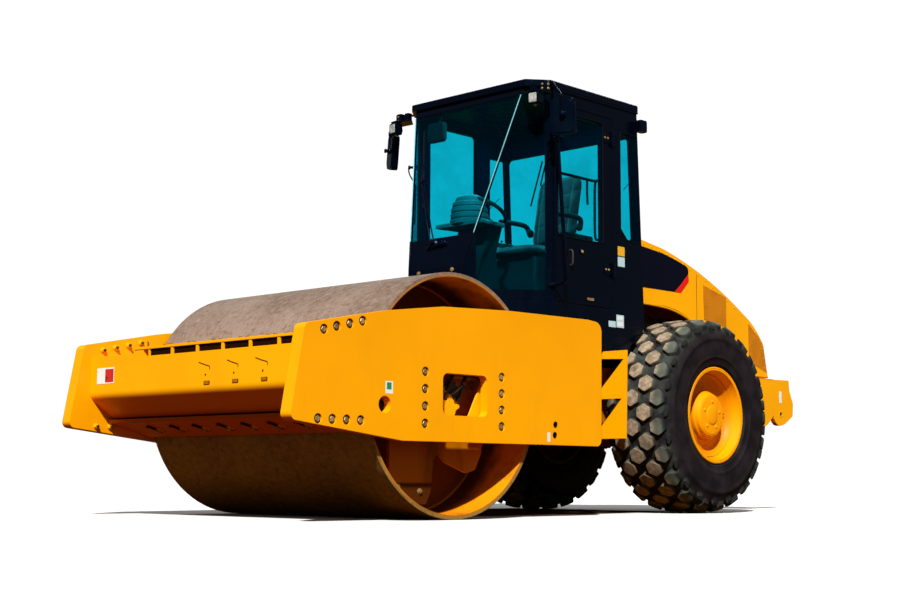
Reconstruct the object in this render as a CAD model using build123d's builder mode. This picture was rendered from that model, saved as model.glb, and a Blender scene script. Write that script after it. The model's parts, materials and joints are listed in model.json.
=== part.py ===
from build123d import *
import os
from math import atan2, cos, degrees, hypot, radians, sin, sqrt

# Road roller: one smooth vibrating drum in a front frame, a rear frame with two
# wheels, an operator's cab and an engine hood, joined by a vertical centre hinge.
# Millimetres. X is the machine's left, -Y its front, Z up. The origin is on the
# ground, under the middle of the outline.

os.makedirs("parts", exist_ok=True)

# ---------------------------------------------------------------- driving sizes
HALF_WIDTH = 1150.0          # outer faces of the drum side plates
FRONT_END = -3057.0          # lower front corner of the side plates
REAR_END = 3057.0            # rear edge of the tow plates
DRUM_Y, DRUM_R, DRUM_HALF = -1660.0, 767.0, 1067.0
DRUM_SHELL = 28.0
PIVOT_Y = -180.0             # centre hinge, about halfway between drum and rear axle
AXLE_Y, TYRE_R = 1275.0, 742.0
TYRE_X, TYRE_HALF = 775.0, 292.0
PLATE_T = 58.0               # side plate thickness
PLATE_IN = HALF_WIDTH - PLATE_T
NOSE_IN = 1060.0             # the side plate is thicker ahead of the drum
NOSE_REAR_Y = -2470.0
CAB_HALF = 690.0
CAB_WALL = 50.0
CAB_FLOOR_Z, CAB_WALL_Z, CAB_EAVE_Z, CAB_TOP_Z = 1503.0, 1543.0, 3068.0, 3120.0
CAB_CORNER_Y = -232.0        # A-pillar corner
NOSE_HALF, NOSE_Y = 268.0, -745.0
SHIELD_Z0, SHIELD_SLOPE = 1760.0, 0.2604   # windshield leans back above this height
CAB_REAR_Z0_Y, CAB_REAR_SLOPE = 833.0, 0.0454
HOOD_HALF, HOOD_T = 620.0, 30.0
HOOD_HINGE_Y, HOOD_HINGE_Z = 885.0, 2030.0
FRAME_HALF, RAIL_T = 430.0, 30.0
FRAME_LOW, FRAME_TOP = 560.0, 1100.0
GLASS_T = 8.0
FIT = 0.05                   # radial play of a pin in its bore


def shield_y(z):
    return NOSE_Y + SHIELD_SLOPE * (z - SHIELD_Z0)


def rear_y(z):
    return CAB_REAR_Z0_Y - CAB_REAR_SLOPE * (z - CAB_FLOOR_Z)


pieces = []


def keep(builder, name):
    pieces.append((builder, name))


# ---------------------------------------------------------------- front frame
# side plate outline, columns: y, z, corner radius
SIDE_OUTLINE = [
    (-2965, 1112, 45),
    (-2338, 1234, 400),
    (-1857, 1297, 0),
    (-1257, 1322, 0),
    (-431, 1329, 0),
    (-285, 1316, 70),
    (-295, 473, 48),
    (-2196, 472, 60),
    (FRONT_END - 7.06, 573, 40),
]


def rounded_outline(rows):
    """Sketch of a closed outline whose corners are rounded by the third column."""
    points = [(y, z) for y, z, _ in rows]
    with BuildSketch(Plane.XY) as flat:
        with BuildLine():
            Polyline(*points, close=True)
        make_face()
        for y, z, r in rows:
            if r > 0:
                corner = flat.vertices().sort_by_distance(Vector(y, z, 0))[0]
                fillet(corner, r)
    return flat.sketch


side_face = rounded_outline(SIDE_OUTLINE)
SQUARE_HOLE = (-1653, 763, 400, 256, 40)       # y, z, long, high, corner radius
ROUND_HOLE = (-2342, 680, 50)                  # y, z, radius: lifting and tie-down eye
SMALL_HOLES = [(-784, 606, 22), (-790, 537, 22)]
# counterbored bolt seats, columns: y, z
PLATE_BOLTS = (
    [(DRUM_Y + s * 345, z) for s in (-1, 1) for z in (891, 787, 683, 579)]
    + [(-2822, 1087), (-2725, 1111), (-2625, 1133), (-2525, 1156)]
    + [(-2858, 582), (-2750, 582), (-2641, 582), (-2532, 582)]
)
BOLT_SEAT_R, BOLT_SEAT_DEPTH = 29.0, 14.0

with BuildPart() as side_plate_left:
    with BuildSketch(Plane.YZ.offset(PLATE_IN)):
        add(side_face)
    extrude(amount=PLATE_T)
    with BuildSketch(Plane.YZ.offset(NOSE_IN)):
        add(side_face)
        with Locations((NOSE_REAR_Y - 500, 900)):
            Rectangle(1000, 1200, mode=Mode.INTERSECT)
    extrude(amount=PLATE_IN - NOSE_IN)
    y, z, wide, high, r = SQUARE_HOLE
    with BuildSketch(Plane.YZ.offset(PLATE_IN)):
        with Locations((y, z)):
            RectangleRounded(wide, high, r)
        for hy, hz, hr in SMALL_HOLES:
            with Locations((hy, hz)):
                Circle(hr)
    extrude(amount=PLATE_T, mode=Mode.SUBTRACT)
    y, z, r = ROUND_HOLE
    with BuildSketch(Plane.YZ.offset(NOSE_IN)):
        with Locations((y, z)):
            Circle(r)
    extrude(amount=HALF_WIDTH - NOSE_IN, mode=Mode.SUBTRACT)
    with BuildSketch(Plane.YZ.offset(HALF_WIDTH)):
        with Locations(*PLATE_BOLTS):
            Circle(BOLT_SEAT_R)
    extrude(amount=-BOLT_SEAT_DEPTH, mode=Mode.SUBTRACT)
keep(side_plate_left, "side_plate_left")

with BuildPart() as side_plate_right:
    add(mirror(side_plate_left.part, about=Plane.YZ, mode=Mode.PRIVATE))
keep(side_plate_right, "side_plate_right")

# front bumper: box beam with a vertical face, a folded underside and a scraper
# table on seven ribs
BUMPER_FACE_Y, BUMPER_TOP_Z, BUMPER_FOLD_Z = -2910.0, 1012.0, 767.0
BUMPER_PROFILE = [
    (BUMPER_FACE_Y, BUMPER_TOP_Z, 0),
    (-2560, BUMPER_TOP_Z, 0),
    (-2470, 900, 0),
    (-2470, 640, 0),
    (-2745, 640, 0),
    (BUMPER_FACE_Y, BUMPER_FOLD_Z, 70),
]
TABLE_Z, TABLE_T = 1055.0, 18.0
TABLE_END = -570.0           # the table stops short of the right side plate
CORNER_Z = 1034.0            # and the face is taller there
# table ribs, columns: middle, width
RIBS = [(-519.0, 96.0), (-410.0, 14.0), (-168.0, 24.0), (88.0, 24.0), (338.0, 24.0), (598.0, 24.0), (858.0, 24.0), (1046.0, 24.0)]
with BuildPart() as front_bumper:
    with BuildSketch(Plane.YZ.offset(-NOSE_IN)):
        add(rounded_outline(BUMPER_PROFILE))
    extrude(amount=2 * NOSE_IN)
    # sloping bottom plate under the beam, running back to the drum
    with BuildSketch(Plane.YZ.offset(-NOSE_IN)):
        with BuildLine():
            Polyline((-2770, 628), (-2760, 604), (-2450, 520), (-2445, 545), (-2560, 600), (-2560, 640),
                     (-2590, 640), (-2590, 590), close=True)
        make_face()
    extrude(amount=2 * NOSE_IN)
    # scraper table and its ribs
    with BuildSketch(Plane.XY.offset(TABLE_Z)):
        with Locations(((NOSE_IN + TABLE_END) / 2, (BUMPER_FACE_Y - 2480) / 2)):
            Rectangle(NOSE_IN - TABLE_END, -2480 - BUMPER_FACE_Y)
    extrude(amount=TABLE_T)
    with BuildSketch(Plane.XY.offset(BUMPER_TOP_Z)):
        with Locations(((TABLE_END - NOSE_IN) / 2, BUMPER_FACE_Y + 10)):
            Rectangle(TABLE_END + NOSE_IN, 20)
    extrude(amount=CORNER_Z - BUMPER_TOP_Z)
    with BuildSketch(Plane.XY.offset(BUMPER_TOP_Z)):
        for x, wide in RIBS:
            with Locations((x, (BUMPER_FACE_Y - 2600) / 2)):
                Rectangle(wide, -2600 - BUMPER_FACE_Y)
    extrude(amount=TABLE_Z - BUMPER_TOP_Z)
keep(front_bumper, "front_bumper")

# rear cross member of the drum frame with the hinge lug and the rod clevises
CROSS_FRONT, CROSS_REAR = -480.0, -300.0
LUG_LOW, LUG_TOP, LUG_R, PIN_R = 640.0, 840.0, 105.0, 45.0
ROD_X, ROD_Y, ROD_Z = 215.0, PIVOT_Y - 60.0, 740.0
with BuildPart() as rear_crossmember:
    with BuildSketch(Plane.XY.offset(490)):
        with Locations((0, (CROSS_FRONT + CROSS_REAR) / 2)):
            Rectangle(2 * PLATE_IN, CROSS_REAR - CROSS_FRONT)
    extrude(amount=640)
    with BuildSketch(Plane.XY.offset(LUG_LOW)):
        with Locations((0, (CROSS_REAR + PIVOT_Y) / 2)):
            Rectangle(2 * LUG_R, PIVOT_Y - CROSS_REAR)
        with Locations((0, PIVOT_Y)):
            Circle(LUG_R)
            Circle(PIN_R + FIT, mode=Mode.SUBTRACT)
    extrude(amount=LUG_TOP - LUG_LOW)
    for low in (ROD_Z - 44, ROD_Z + 26):
        with BuildSketch(Plane.XY.offset(low)):
            for s in (-1, 1):
                with Locations((s * ROD_X, (CROSS_REAR + ROD_Y) / 2)):
                    Rectangle(100, ROD_Y - CROSS_REAR)
                with Locations((s * ROD_X, ROD_Y)):
                    Circle(50)
        extrude(amount=18)
keep(rear_crossmember, "rear_crossmember")

# drum suspension: a plate with two hanging arms inside each drum end, a bolted
# pad against the side plate, and the drive motor on its centre
ARM_IN, ARM_OUT = 930.0, 955.0
# outline from the drum axis, columns: y, z
MOUNT_OUTLINE = [(-430, 880), (430, 880), (430, 560), (371, 458), (359, 402), (306, 307), (231, 286), (36, 351),
                 (-32, 412), (-71, 365), (-97, 166), (-140, 90), (-250, 105), (-330, 150), (-455, 245), (-455, 700)]
with BuildPart() as drum_mount_left:
    with BuildSketch(Plane.YZ.offset(ARM_IN)):
        with BuildLine():
            Polyline(*[(DRUM_Y + y, z) for y, z in MOUNT_OUTLINE], close=True)
        make_face()
        fillet(vertices(), 22)
    extrude(amount=ARM_OUT - ARM_IN)
    with BuildSketch(Plane.YZ.offset(ARM_OUT)):
        for s in (-1, 1):
            with Locations((DRUM_Y + s * 345, 735)):
                Rectangle(110, 280)
    extrude(amount=PLATE_IN - ARM_OUT)
    with BuildSketch(Plane.YZ.offset(ARM_IN - 168)):
        with Locations((DRUM_Y, DRUM_R)):
            Circle(150)
    extrude(amount=168)
    with BuildSketch(Plane.YZ.offset(ARM_OUT)):
        with Locations((DRUM_Y, DRUM_R)):
            Circle(95)
    extrude(amount=60)
keep(drum_mount_left, "drum_mount_left")

with BuildPart() as drum_mount_right:
    add(mirror(drum_mount_left.part, about=Plane.YZ, mode=Mode.PRIVATE))
keep(drum_mount_right, "drum_mount_right")

# rear scraper bar with its blade, behind the drum
with BuildPart() as rear_scraper:
    with BuildSketch(Plane.YZ.offset(-1060)):
        with BuildLine():
            Polyline((-480, 620), (-480, 560), (-860, 600), (-868, 612), (-540, 620), close=True)
        make_face()
    extrude(amount=2120)
keep(rear_scraper, "rear_scraper")

# ---------------------------------------------------------------- drum
DRUM_AXIS = Axis((0, DRUM_Y, DRUM_R), (1, 0, 0))
HEAD_X, HEAD_T, HUB_END = 620.0, 30.0, 755.0
with BuildPart() as drum_shell:
    with BuildSketch(Plane.YZ.offset(-DRUM_HALF)):
        with Locations((DRUM_Y, DRUM_R)):
            Circle(DRUM_R)
            Circle(DRUM_R - DRUM_SHELL, mode=Mode.SUBTRACT)
    extrude(amount=2 * DRUM_HALF)
keep(drum_shell, "drum_shell")

with BuildPart() as drum_heads:
    for s in (-1, 1):
        with BuildSketch(Plane.YZ.offset(s * HEAD_X)):
            with Locations((DRUM_Y, DRUM_R)):
                Circle(DRUM_R - DRUM_SHELL)
        extrude(amount=s * HEAD_T)
        with BuildSketch(Plane.YZ.offset(s * (HEAD_X + HEAD_T))):
            with Locations((DRUM_Y, DRUM_R)):
                Circle(190)
        extrude(amount=s * (HUB_END - HEAD_X - HEAD_T))
keep(drum_heads, "drum_heads")

# sealed vibration unit, one plain mass between the drum heads
with BuildPart() as vibration_unit:
    with BuildSketch(Plane.YZ.offset(-HEAD_X)):
        with Locations((DRUM_Y, DRUM_R)):
            Circle(230)
    extrude(amount=2 * HEAD_X)
keep(vibration_unit, "vibration_unit")

# ---------------------------------------------------------------- rear frame
TONGUE_PLATES = [(560.0, 70.0), (850.0, 70.0)]   # low z, thickness
CYL_X, CYL_Y = 190.0, 440.0                      # barrel anchor pins
with BuildPart() as rear_chassis:
    with BuildSketch(Plane.YZ.offset(FRAME_HALF - RAIL_T)):
        with BuildLine():
            Polyline((10, 560), (10, 920), (200, 1100), (2450, 1100), (2450, 700), (2310, 560), close=True)
        make_face()
        with Locations((AXLE_Y, TYRE_R)):
            Circle(150, mode=Mode.SUBTRACT)
    extrude(amount=RAIL_T)
    with BuildSketch(Plane.YZ.offset(-FRAME_HALF)):
        with BuildLine():
            Polyline((10, 560), (10, 920), (200, 1100), (2450, 1100), (2450, 700), (2310, 560), close=True)
        make_face()
        with Locations((AXLE_Y, TYRE_R)):
            Circle(150, mode=Mode.SUBTRACT)
    extrude(amount=RAIL_T)
    for low, thick in TONGUE_PLATES:
        with BuildSketch(Plane.XY.offset(low)):
            with BuildLine():
                Polyline((-LUG_R, PIVOT_Y), (LUG_R, PIVOT_Y), (200, -135), (400, 20), (400, 620), (-400, 620),
                         (-400, 20), (-200, -135), close=True)
            make_face()
            with Locations((0, PIVOT_Y)):
                Circle(LUG_R)
        extrude(amount=thick)
    # hinge pin
    with BuildSketch(Plane.XY.offset(545)):
        with Locations((0, PIVOT_Y)):
            Circle(PIN_R)
    extrude(amount=390)
    # cross plates: behind the hinge, and at the rear end
    for y0, y1, low, top in ((600, 630, 560, 1100), (2420, 2450, 700, 1100)):
        with BuildSketch(Plane.XY.offset(low)):
            with Locations((0, (y0 + y1) / 2)):
                Rectangle(2 * (FRAME_HALF - RAIL_T), y1 - y0)
        extrude(amount=top - low)
    # belly plate under the engine
    with BuildSketch(Plane.XY.offset(560)):
        with Locations((0, 1990)):
            Rectangle(2 * (FRAME_HALF - RAIL_T), 640)
    extrude(amount=15)
    # barrel anchors: two lugs and a pin each side
    for low in (ROD_Z - 60, ROD_Z + 40):
        with BuildSketch(Plane.XY.offset(low)):
            for s in (-1, 1):
                with Locations((s * CYL_X, (CYL_Y + 600) / 2)):
                    Rectangle(90, 600 - CYL_Y)
                with Locations((s * CYL_X, CYL_Y)):
                    Circle(45)
        extrude(amount=20)
    with BuildSketch(Plane.XY.offset(ROD_Z - 50)):
        for s in (-1, 1):
            with Locations((s * CYL_X, CYL_Y)):
                Circle(22)
    extrude(amount=100)
keep(rear_chassis, "rear_chassis")

# pedestals under the cab and the side beams that carry the steps
with BuildPart() as cab_pedestal:
    with BuildSketch(Plane.XY.offset(FRAME_TOP)):
        with Locations((0, 420)):
            Rectangle(2 * FRAME_HALF, 360)
    extrude(amount=95)
keep(cab_pedestal, "cab_pedestal")

# rear axle beam with the differential housing
with BuildPart() as rear_axle:
    with BuildSketch(Plane.YZ.offset(-555)):
        with Locations((AXLE_Y, TYRE_R)):
            Circle(120)
    extrude(amount=1110)
    with BuildSketch(Plane.YZ.offset(-180)):
        with Locations((AXLE_Y, TYRE_R)):
            Circle(230)
    extrude(amount=360)
    with BuildSketch(Plane.YZ.offset(-FRAME_HALF)):
        with Locations((AXLE_Y, TYRE_R)):
            Circle(150)
    extrude(amount=RAIL_T)
    with BuildSketch(Plane.YZ.offset(FRAME_HALF - RAIL_T)):
        with Locations((AXLE_Y, TYRE_R)):
            Circle(150)
    extrude(amount=RAIL_T)
keep(rear_axle, "rear_axle")

# engine and cooler, one plain mass
with BuildPart() as engine_block:
    with BuildSketch(Plane.XY.offset(1000)):
        with Locations((0, 1600)):
            Rectangle(620, 1000)
    extrude(amount=560)
keep(engine_block, "engine_block")

# tow plates and the rear beam between them
TOW_X, TOW_T = 640.0, 40.0
TOW_HOLE = (2854.0, 811.0, 17.5)
with BuildPart() as rear_bumper:
    for x in (TOW_X - TOW_T, -TOW_X):
        with BuildSketch(Plane.YZ.offset(x)):
            with BuildLine():
                Polyline((2464, 1100), (2991, 1107), (3001, 1016), (REAR_END, 906), (3045, 800), (2925, 733),
                         (2882, 718), (2836, 713), (2797, 720), (2767, 740), (2749, 770), (2744, 832), (2587, 750),
                         (2500, 712), (2464, 720), close=True)
            make_face()
            with Locations(TOW_HOLE[:2]):
                Circle(TOW_HOLE[2], mode=Mode.SUBTRACT)
        extrude(amount=TOW_T)
    with BuildSketch(Plane.YZ.offset(-TOW_X)):
        with BuildLine():
            Polyline((2452, 1100), (2740, 1100), (2740, 795), (2650, 722), (2560, 680), (2452, 680), close=True)
        make_face()
    extrude(amount=2 * TOW_X)
keep(rear_bumper, "rear_bumper")

# black platform under the cab; its rear clears the tyres
CAB_PLAN = [(CAB_HALF, CAB_CORNER_Y), (NOSE_HALF, NOSE_Y), (-NOSE_HALF, NOSE_Y), (-CAB_HALF, CAB_CORNER_Y)]
PLATFORM_LOW = 1345.0
with BuildPart() as cab_platform:
    with BuildSketch(Plane.YZ.offset(-CAB_HALF)):
        with BuildLine():
            Polyline((NOSE_Y, CAB_FLOOR_Z), (NOSE_Y, PLATFORM_LOW), (190, PLATFORM_LOW), (190, 1195), (600, 1195),
                     (770, PLATFORM_LOW), (833, 1400), (833, CAB_FLOOR_Z), close=True)
        make_face()
    extrude(amount=2 * CAB_HALF)
    with BuildSketch(Plane.XY.offset(1100)):
        with BuildLine():
            Polyline((CAB_HALF, 900), *CAB_PLAN, (-CAB_HALF, 900), close=True)
        make_face()
    extrude(amount=450, mode=Mode.INTERSECT)
keep(cab_platform, "cab_platform")

# steps: a front plate with two triangular openings, three treads and an inner post
STEP_Y0, STEP_Y1 = 330.0, 490.0
STEP_X0, STEP_X1 = 470.0, 901.0
with BuildPart() as step_left:
    with BuildSketch(Plane.XZ.offset(-STEP_Y0)):
        with BuildLine():
            Polyline((STEP_X0, 545), (STEP_X1 - 14, 545), (STEP_X1, 1187), (STEP_X0, 1187), close=True)
        make_face()
        with BuildLine():
            Polyline((560, 1137), (870, 1122), (612, 862), (560, 862), close=True)
        make_face(mode=Mode.SUBTRACT)
        with BuildLine():
            Polyline((560, 837), (850, 835), (600, 570), (560, 570), close=True)
        make_face(mode=Mode.SUBTRACT)
    extrude(amount=-12)
    for top, thick, out in ((1187, 12, STEP_X1 - 10), (862, 12, STEP_X1 - 18), (560, 12, STEP_X1 - 24)):
        # each tread narrows towards the tyre
        with BuildSketch(Plane.XY.offset(top - thick)):
            with BuildLine():
                Polyline((STEP_X0, STEP_Y0 + 12), (out, STEP_Y0 + 12), (out, STEP_Y0 + 22), (out - 150, STEP_Y1),
                         (STEP_X0, STEP_Y1), close=True)
            make_face()
        extrude(amount=thick)
    with BuildSketch(Plane.XY.offset(545)):
        with Locations(((STEP_X0 + FRAME_HALF) / 2, (STEP_Y0 + STEP_Y1) / 2)):
            Rectangle(STEP_X0 - FRAME_HALF, STEP_Y1 - STEP_Y0)
    extrude(amount=555)
keep(step_left, "step_left")

with BuildPart() as step_right:
    add(mirror(step_left.part, about=Plane.YZ, mode=Mode.PRIVATE))
keep(step_right, "step_right")

# bulkhead between cab and engine, with the hood's hinge lugs and pins
HINGE_LUGS = [335.0, 425.0, -355.0, -445.0]      # low x of each 20 mm lug
with BuildPart() as hood_bulkhead:
    with BuildSketch(Plane.XZ.offset(-850)):
        with BuildLine():
            Polyline((-400, 1100), (400, 1100), (400, 1520), (560, 1520), (560, 1990), (-560, 1990), (-560, 1520),
                     (-400, 1520), close=True)
        make_face()
    extrude(amount=-60)
    for x in HINGE_LUGS:
        with BuildSketch(Plane.YZ.offset(x)):
            with Locations((HOOD_HINGE_Y, (1990 + HOOD_HINGE_Z) / 2)):
                Rectangle(40, HOOD_HINGE_Z - 1990)
            with Locations((HOOD_HINGE_Y, HOOD_HINGE_Z)):
                Circle(20)
        extrude(amount=20)
    for x in (345, -435):
        with BuildSketch(Plane.YZ.offset(x)):
            with Locations((HOOD_HINGE_Y, HOOD_HINGE_Z)):
                Circle(12)
        extrude(amount=90)
keep(hood_bulkhead, "hood_bulkhead")

# ---------------------------------------------------------------- cab


def plan_points(t):
    """Plan of the cab, drawn in by t: right half, from the rear to the nose."""
    ux, uy = NOSE_HALF - CAB_HALF, NOSE_Y - CAB_CORNER_Y
    n = hypot(ux, uy)
    nx, ny = uy / n, -ux / n                 # points into the cab
    px, py = CAB_HALF + t * nx, CAB_CORNER_Y + t * ny
    side, front = CAB_HALF - t, NOSE_Y + t
    corner = py + (side - px) / ux * uy
    nose = px + (front - py) / uy * ux
    return [(side, 1000), (side, corner), (nose, front), (-nose, front), (-side, corner), (-side, 1000)]


def cab_solid(t, low, top):
    lean = t * sqrt(1 + SHIELD_SLOPE ** 2)
    with BuildPart() as solid:
        with BuildSketch(Plane.XY.offset(low)):
            with BuildLine():
                Polyline(*plan_points(t), close=True)
            make_face()
        extrude(amount=top - low)
        with BuildSketch(Plane.YZ.offset(-800)):
            with BuildLine():
                Polyline((shield_y(1000) + lean, 1000), (rear_y(1000) - t, 1000), (rear_y(3300) - t, 3300),
                         (shield_y(3300) + lean, 3300), close=True)
            make_face()
            with Locations((NOSE_Y + 500, SHIELD_Z0 - 500)):
                Rectangle(2600, 1000)
        extrude(amount=1600, mode=Mode.INTERSECT)
        with BuildSketch(Plane.YZ.offset(-800)):
            with BuildLine():
                Polyline((-1200, 1000), (rear_y(1000) - t, 1000), (rear_y(3300) - t, 3300), (-1200, 3300), close=True)
            make_face()
        extrude(amount=1600, mode=Mode.INTERSECT)
    return solid.part


cab_outside = cab_solid(0, CAB_WALL_Z, CAB_EAVE_Z)
cab_inside = cab_solid(CAB_WALL, CAB_WALL_Z - 10, CAB_EAVE_Z + 10)

# the left corner pane's own plane: x along the pane from the A-pillar, y up, z inwards
PANE_U = Vector(NOSE_HALF - CAB_HALF, NOSE_Y - CAB_CORNER_Y, 0).normalized()
PANE = Plane(origin=(CAB_HALF, CAB_CORNER_Y, 0), x_dir=PANE_U, z_dir=(PANE_U.Y, -PANE_U.X, 0))
SHIELD_UP = Vector(0, SHIELD_SLOPE, 1).normalized()
SHIELD = Plane(origin=(0, NOSE_Y, SHIELD_Z0), x_dir=(1, 0, 0), z_dir=(0, -SHIELD_UP.Z, SHIELD_UP.Y))


def bend_s(z):
    """Distance along the corner pane from its A-pillar to the bend line."""
    return (CAB_CORNER_Y - shield_y(z)) / -PANE_U.Y


def bend_x(z):
    return CAB_HALF + PANE_U.X * bend_s(z)


def up(z):
    """Distance up the windshield plane."""
    return (z - SHIELD_Z0) * sqrt(1 + SHIELD_SLOPE ** 2)


GLASS_LOW, GLASS_MID, GLASS_HIGH = 1590.0, 1990.0, 3010.0
EDGE, CORNER_EDGE = 3.0, 15.0                 # glass edges to the bend line
corner_opening = [(62, GLASS_LOW), (568, GLASS_LOW), (568, GLASS_MID), (bend_s(GLASS_MID) - CORNER_EDGE, GLASS_MID),
                  (bend_s(GLASS_HIGH) - CORNER_EDGE, GLASS_HIGH), (62, GLASS_HIGH)]
shield_opening = [(-bend_x(GLASS_MID) + EDGE, up(GLASS_MID)), (bend_x(GLASS_MID) - EDGE, up(GLASS_MID)),
                  (bend_x(GLASS_HIGH) - EDGE, up(GLASS_HIGH)), (-bend_x(GLASS_HIGH) + EDGE, up(GLASS_HIGH))]


def face_of(points):
    with BuildSketch(Plane.XY) as flat:
        with BuildLine():
            Polyline(*points, close=True)
        make_face()
    return flat.sketch


corner_face, shield_face = face_of(corner_opening), face_of(shield_opening)
with BuildPart() as corner_cut:
    with BuildSketch(PANE):
        add(corner_face)
    extrude(amount=CAB_WALL + 40)
with BuildPart() as shield_cut:
    with BuildSketch(SHIELD):
        add(shield_face)
    extrude(amount=-(CAB_WALL + 40))

FRONT_SPLIT_Y = -222.0
with BuildPart() as cab_front_frame:
    add(cab_outside)
    add(cab_inside, mode=Mode.SUBTRACT)
    with BuildSketch(Plane.XY.offset(CAB_WALL_Z)):
        with Locations((0, FRONT_SPLIT_Y - 500)):
            Rectangle(1600, 1000)
    extrude(amount=2000, mode=Mode.INTERSECT)
    add(corner_cut.part, mode=Mode.SUBTRACT)
    add(mirror(corner_cut.part, about=Plane.YZ, mode=Mode.PRIVATE), mode=Mode.SUBTRACT)
    add(shield_cut.part, mode=Mode.SUBTRACT)
keep(cab_front_frame, "cab_front_frame")

# side walls: door opening on the left, the same panel with a fixed window on the right
DOOR_Y0, DOOR_Y1, DOOR_Z0, DOOR_Z1 = -213.0, 435.0, 1513.0, 2953.0
DOOR_AXIS = (CAB_HALF + 14, DOOR_Y1 + 5)          # hinge line, outside the wall
KNUCKLES = [1768.0, 2768.0]                       # low z of each 60 mm door knuckle
RIGHT_WINDOW = (-150.0, 400.0, 1995.0, 3018.0, 30.0)
DOOR_WINDOW = (-192.0, 330.0, 1995.0, 2900.0, 30.0)
QUARTER = [(548, 2871), (548, 2140), (640, 2050), (rear_y(2050) - 14, 2050), (rear_y(2871) - 14, 2871)]
with BuildPart() as cab_side_left:
    add(cab_outside)
    add(cab_inside, mode=Mode.SUBTRACT)
    with BuildSketch(Plane.YZ.offset(CAB_HALF - CAB_WALL)):
        with BuildLine():
            Polyline((FRONT_SPLIT_Y, CAB_WALL_Z), (rear_y(CAB_WALL_Z), CAB_WALL_Z), (rear_y(3300), 3300),
                     (FRONT_SPLIT_Y, 3300), close=True)
        make_face()
    extrude(amount=CAB_WALL + 5, mode=Mode.INTERSECT)
    with BuildSketch(Plane.YZ.offset(CAB_HALF - CAB_WALL - 5)):
        with BuildLine():
            Polyline((-300, 1400), (DOOR_Y1 + 5, 1400), (DOOR_Y1 + 5, DOOR_Z1 + 5), (-300, DOOR_Z1 + 5), close=True)
        make_face()
        add(rounded_outline([(*QUARTER[0], 30), (*QUARTER[1], 60), (*QUARTER[2], 60), (*QUARTER[3], 0),
                             (*QUARTER[4], 0)]))
    extrude(amount=CAB_WALL + 20, mode=Mode.SUBTRACT)
    # fixed knuckles, each pair holding a pin
    for z in KNUCKLES:
        for low in (z - 26, z + 62):
            with BuildSketch(Plane.XY.offset(low)):
                with Locations(DOOR_AXIS):
                    Circle(12)
                with Locations((CAB_HALF + 2, DOOR_AXIS[1] + 30)):
                    Rectangle(4, 60)
                with Locations((CAB_HALF + 5, DOOR_AXIS[1] + 8)):
                    Rectangle(10, 14)
            extrude(amount=24)
        with BuildSketch(Plane.XY.offset(z - 20)):
            with Locations(DOOR_AXIS):
                Circle(6)
        extrude(amount=100)
keep(cab_side_left, "cab_side_left")

with BuildPart() as cab_side_right:
    add(cab_outside)
    add(cab_inside, mode=Mode.SUBTRACT)
    with BuildSketch(Plane.YZ.offset(-CAB_HALF - 5)):
        with BuildLine():
            Polyline((FRONT_SPLIT_Y, CAB_WALL_Z), (rear_y(CAB_WALL_Z), CAB_WALL_Z), (rear_y(3300), 3300),
                     (FRONT_SPLIT_Y, 3300), close=True)
        make_face()
    extrude(amount=CAB_WALL + 5, mode=Mode.INTERSECT)
    y0, y1, z0, z1, r = RIGHT_WINDOW
    with BuildSketch(Plane.YZ.offset(-CAB_HALF - 10)):
        with Locations(((y0 + y1) / 2, (z0 + z1) / 2)):
            RectangleRounded(y1 - y0, z1 - z0, r)
        add(rounded_outline([(*QUARTER[0], 30), (*QUARTER[1], 60), (*QUARTER[2], 60), (*QUARTER[3], 0),
                             (*QUARTER[4], 0)]))
    extrude(amount=CAB_WALL + 20, mode=Mode.SUBTRACT)
keep(cab_side_right, "cab_side_right")

REAR_WINDOW = (1250.0, 2050.0, 2871.0)            # width, low z, high z
with BuildPart() as cab_rear_wall:
    add(cab_outside)
    add(cab_inside, mode=Mode.SUBTRACT)
    with BuildSketch(Plane.XY.offset(CAB_WALL_Z)):
        with Locations((0, 800)):
            Rectangle(2 * (CAB_HALF - CAB_WALL), 600)
    extrude(amount=2000, mode=Mode.INTERSECT)
    with BuildSketch(Plane.XZ.offset(-600)):
        with Locations((0, (REAR_WINDOW[1] + REAR_WINDOW[2]) / 2)):
            RectangleRounded(REAR_WINDOW[0], REAR_WINDOW[2] - REAR_WINDOW[1], 40)
    extrude(amount=-400, mode=Mode.SUBTRACT)
keep(cab_rear_wall, "cab_rear_wall")

with BuildPart() as cab_floor:
    with BuildSketch(Plane.XY.offset(CAB_FLOOR_Z)):
        with BuildLine():
            Polyline(*plan_points(0), close=True)
        make_face()
        with Locations((0, rear_y(CAB_FLOOR_Z) + 500)):
            Rectangle(1600, 1000, mode=Mode.SUBTRACT)
    extrude(amount=CAB_WALL_Z - CAB_FLOOR_Z)
    with BuildSketch(Plane.YZ.offset(CAB_HALF - CAB_WALL - 5)):
        with Locations(((FRONT_SPLIT_Y + DOOR_Y1 + 5) / 2, CAB_WALL_Z)):
            Rectangle(DOOR_Y1 + 5 - FRONT_SPLIT_Y, 70)
    extrude(amount=CAB_WALL + 20, mode=Mode.SUBTRACT)
keep(cab_floor, "cab_floor")

ROOF_PLAN = [(700, 766), (700, -272), (575, -425), (-575, -425), (-700, -272), (-700, 766)]
with BuildPart() as cab_roof:
    with BuildSketch(Plane.XY.offset(CAB_EAVE_Z)):
        with BuildLine():
            Polyline(*ROOF_PLAN, close=True)
        make_face()
    extrude(amount=CAB_TOP_Z - CAB_EAVE_Z)
    chamfer(cab_roof.faces().sort_by(Axis.Z)[-1].edges(), 8)
keep(cab_roof, "cab_roof")

# ---------------------------------------------------------------- glass
with BuildPart() as corner_pane:
    with BuildSketch(PANE.offset(2)):
        add(corner_face)
    extrude(amount=GLASS_T)
with BuildPart() as corner_windows:
    add(corner_pane.part)
    add(mirror(corner_pane.part, about=Plane.YZ, mode=Mode.PRIVATE))
keep(corner_windows, "corner_windows")

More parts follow.
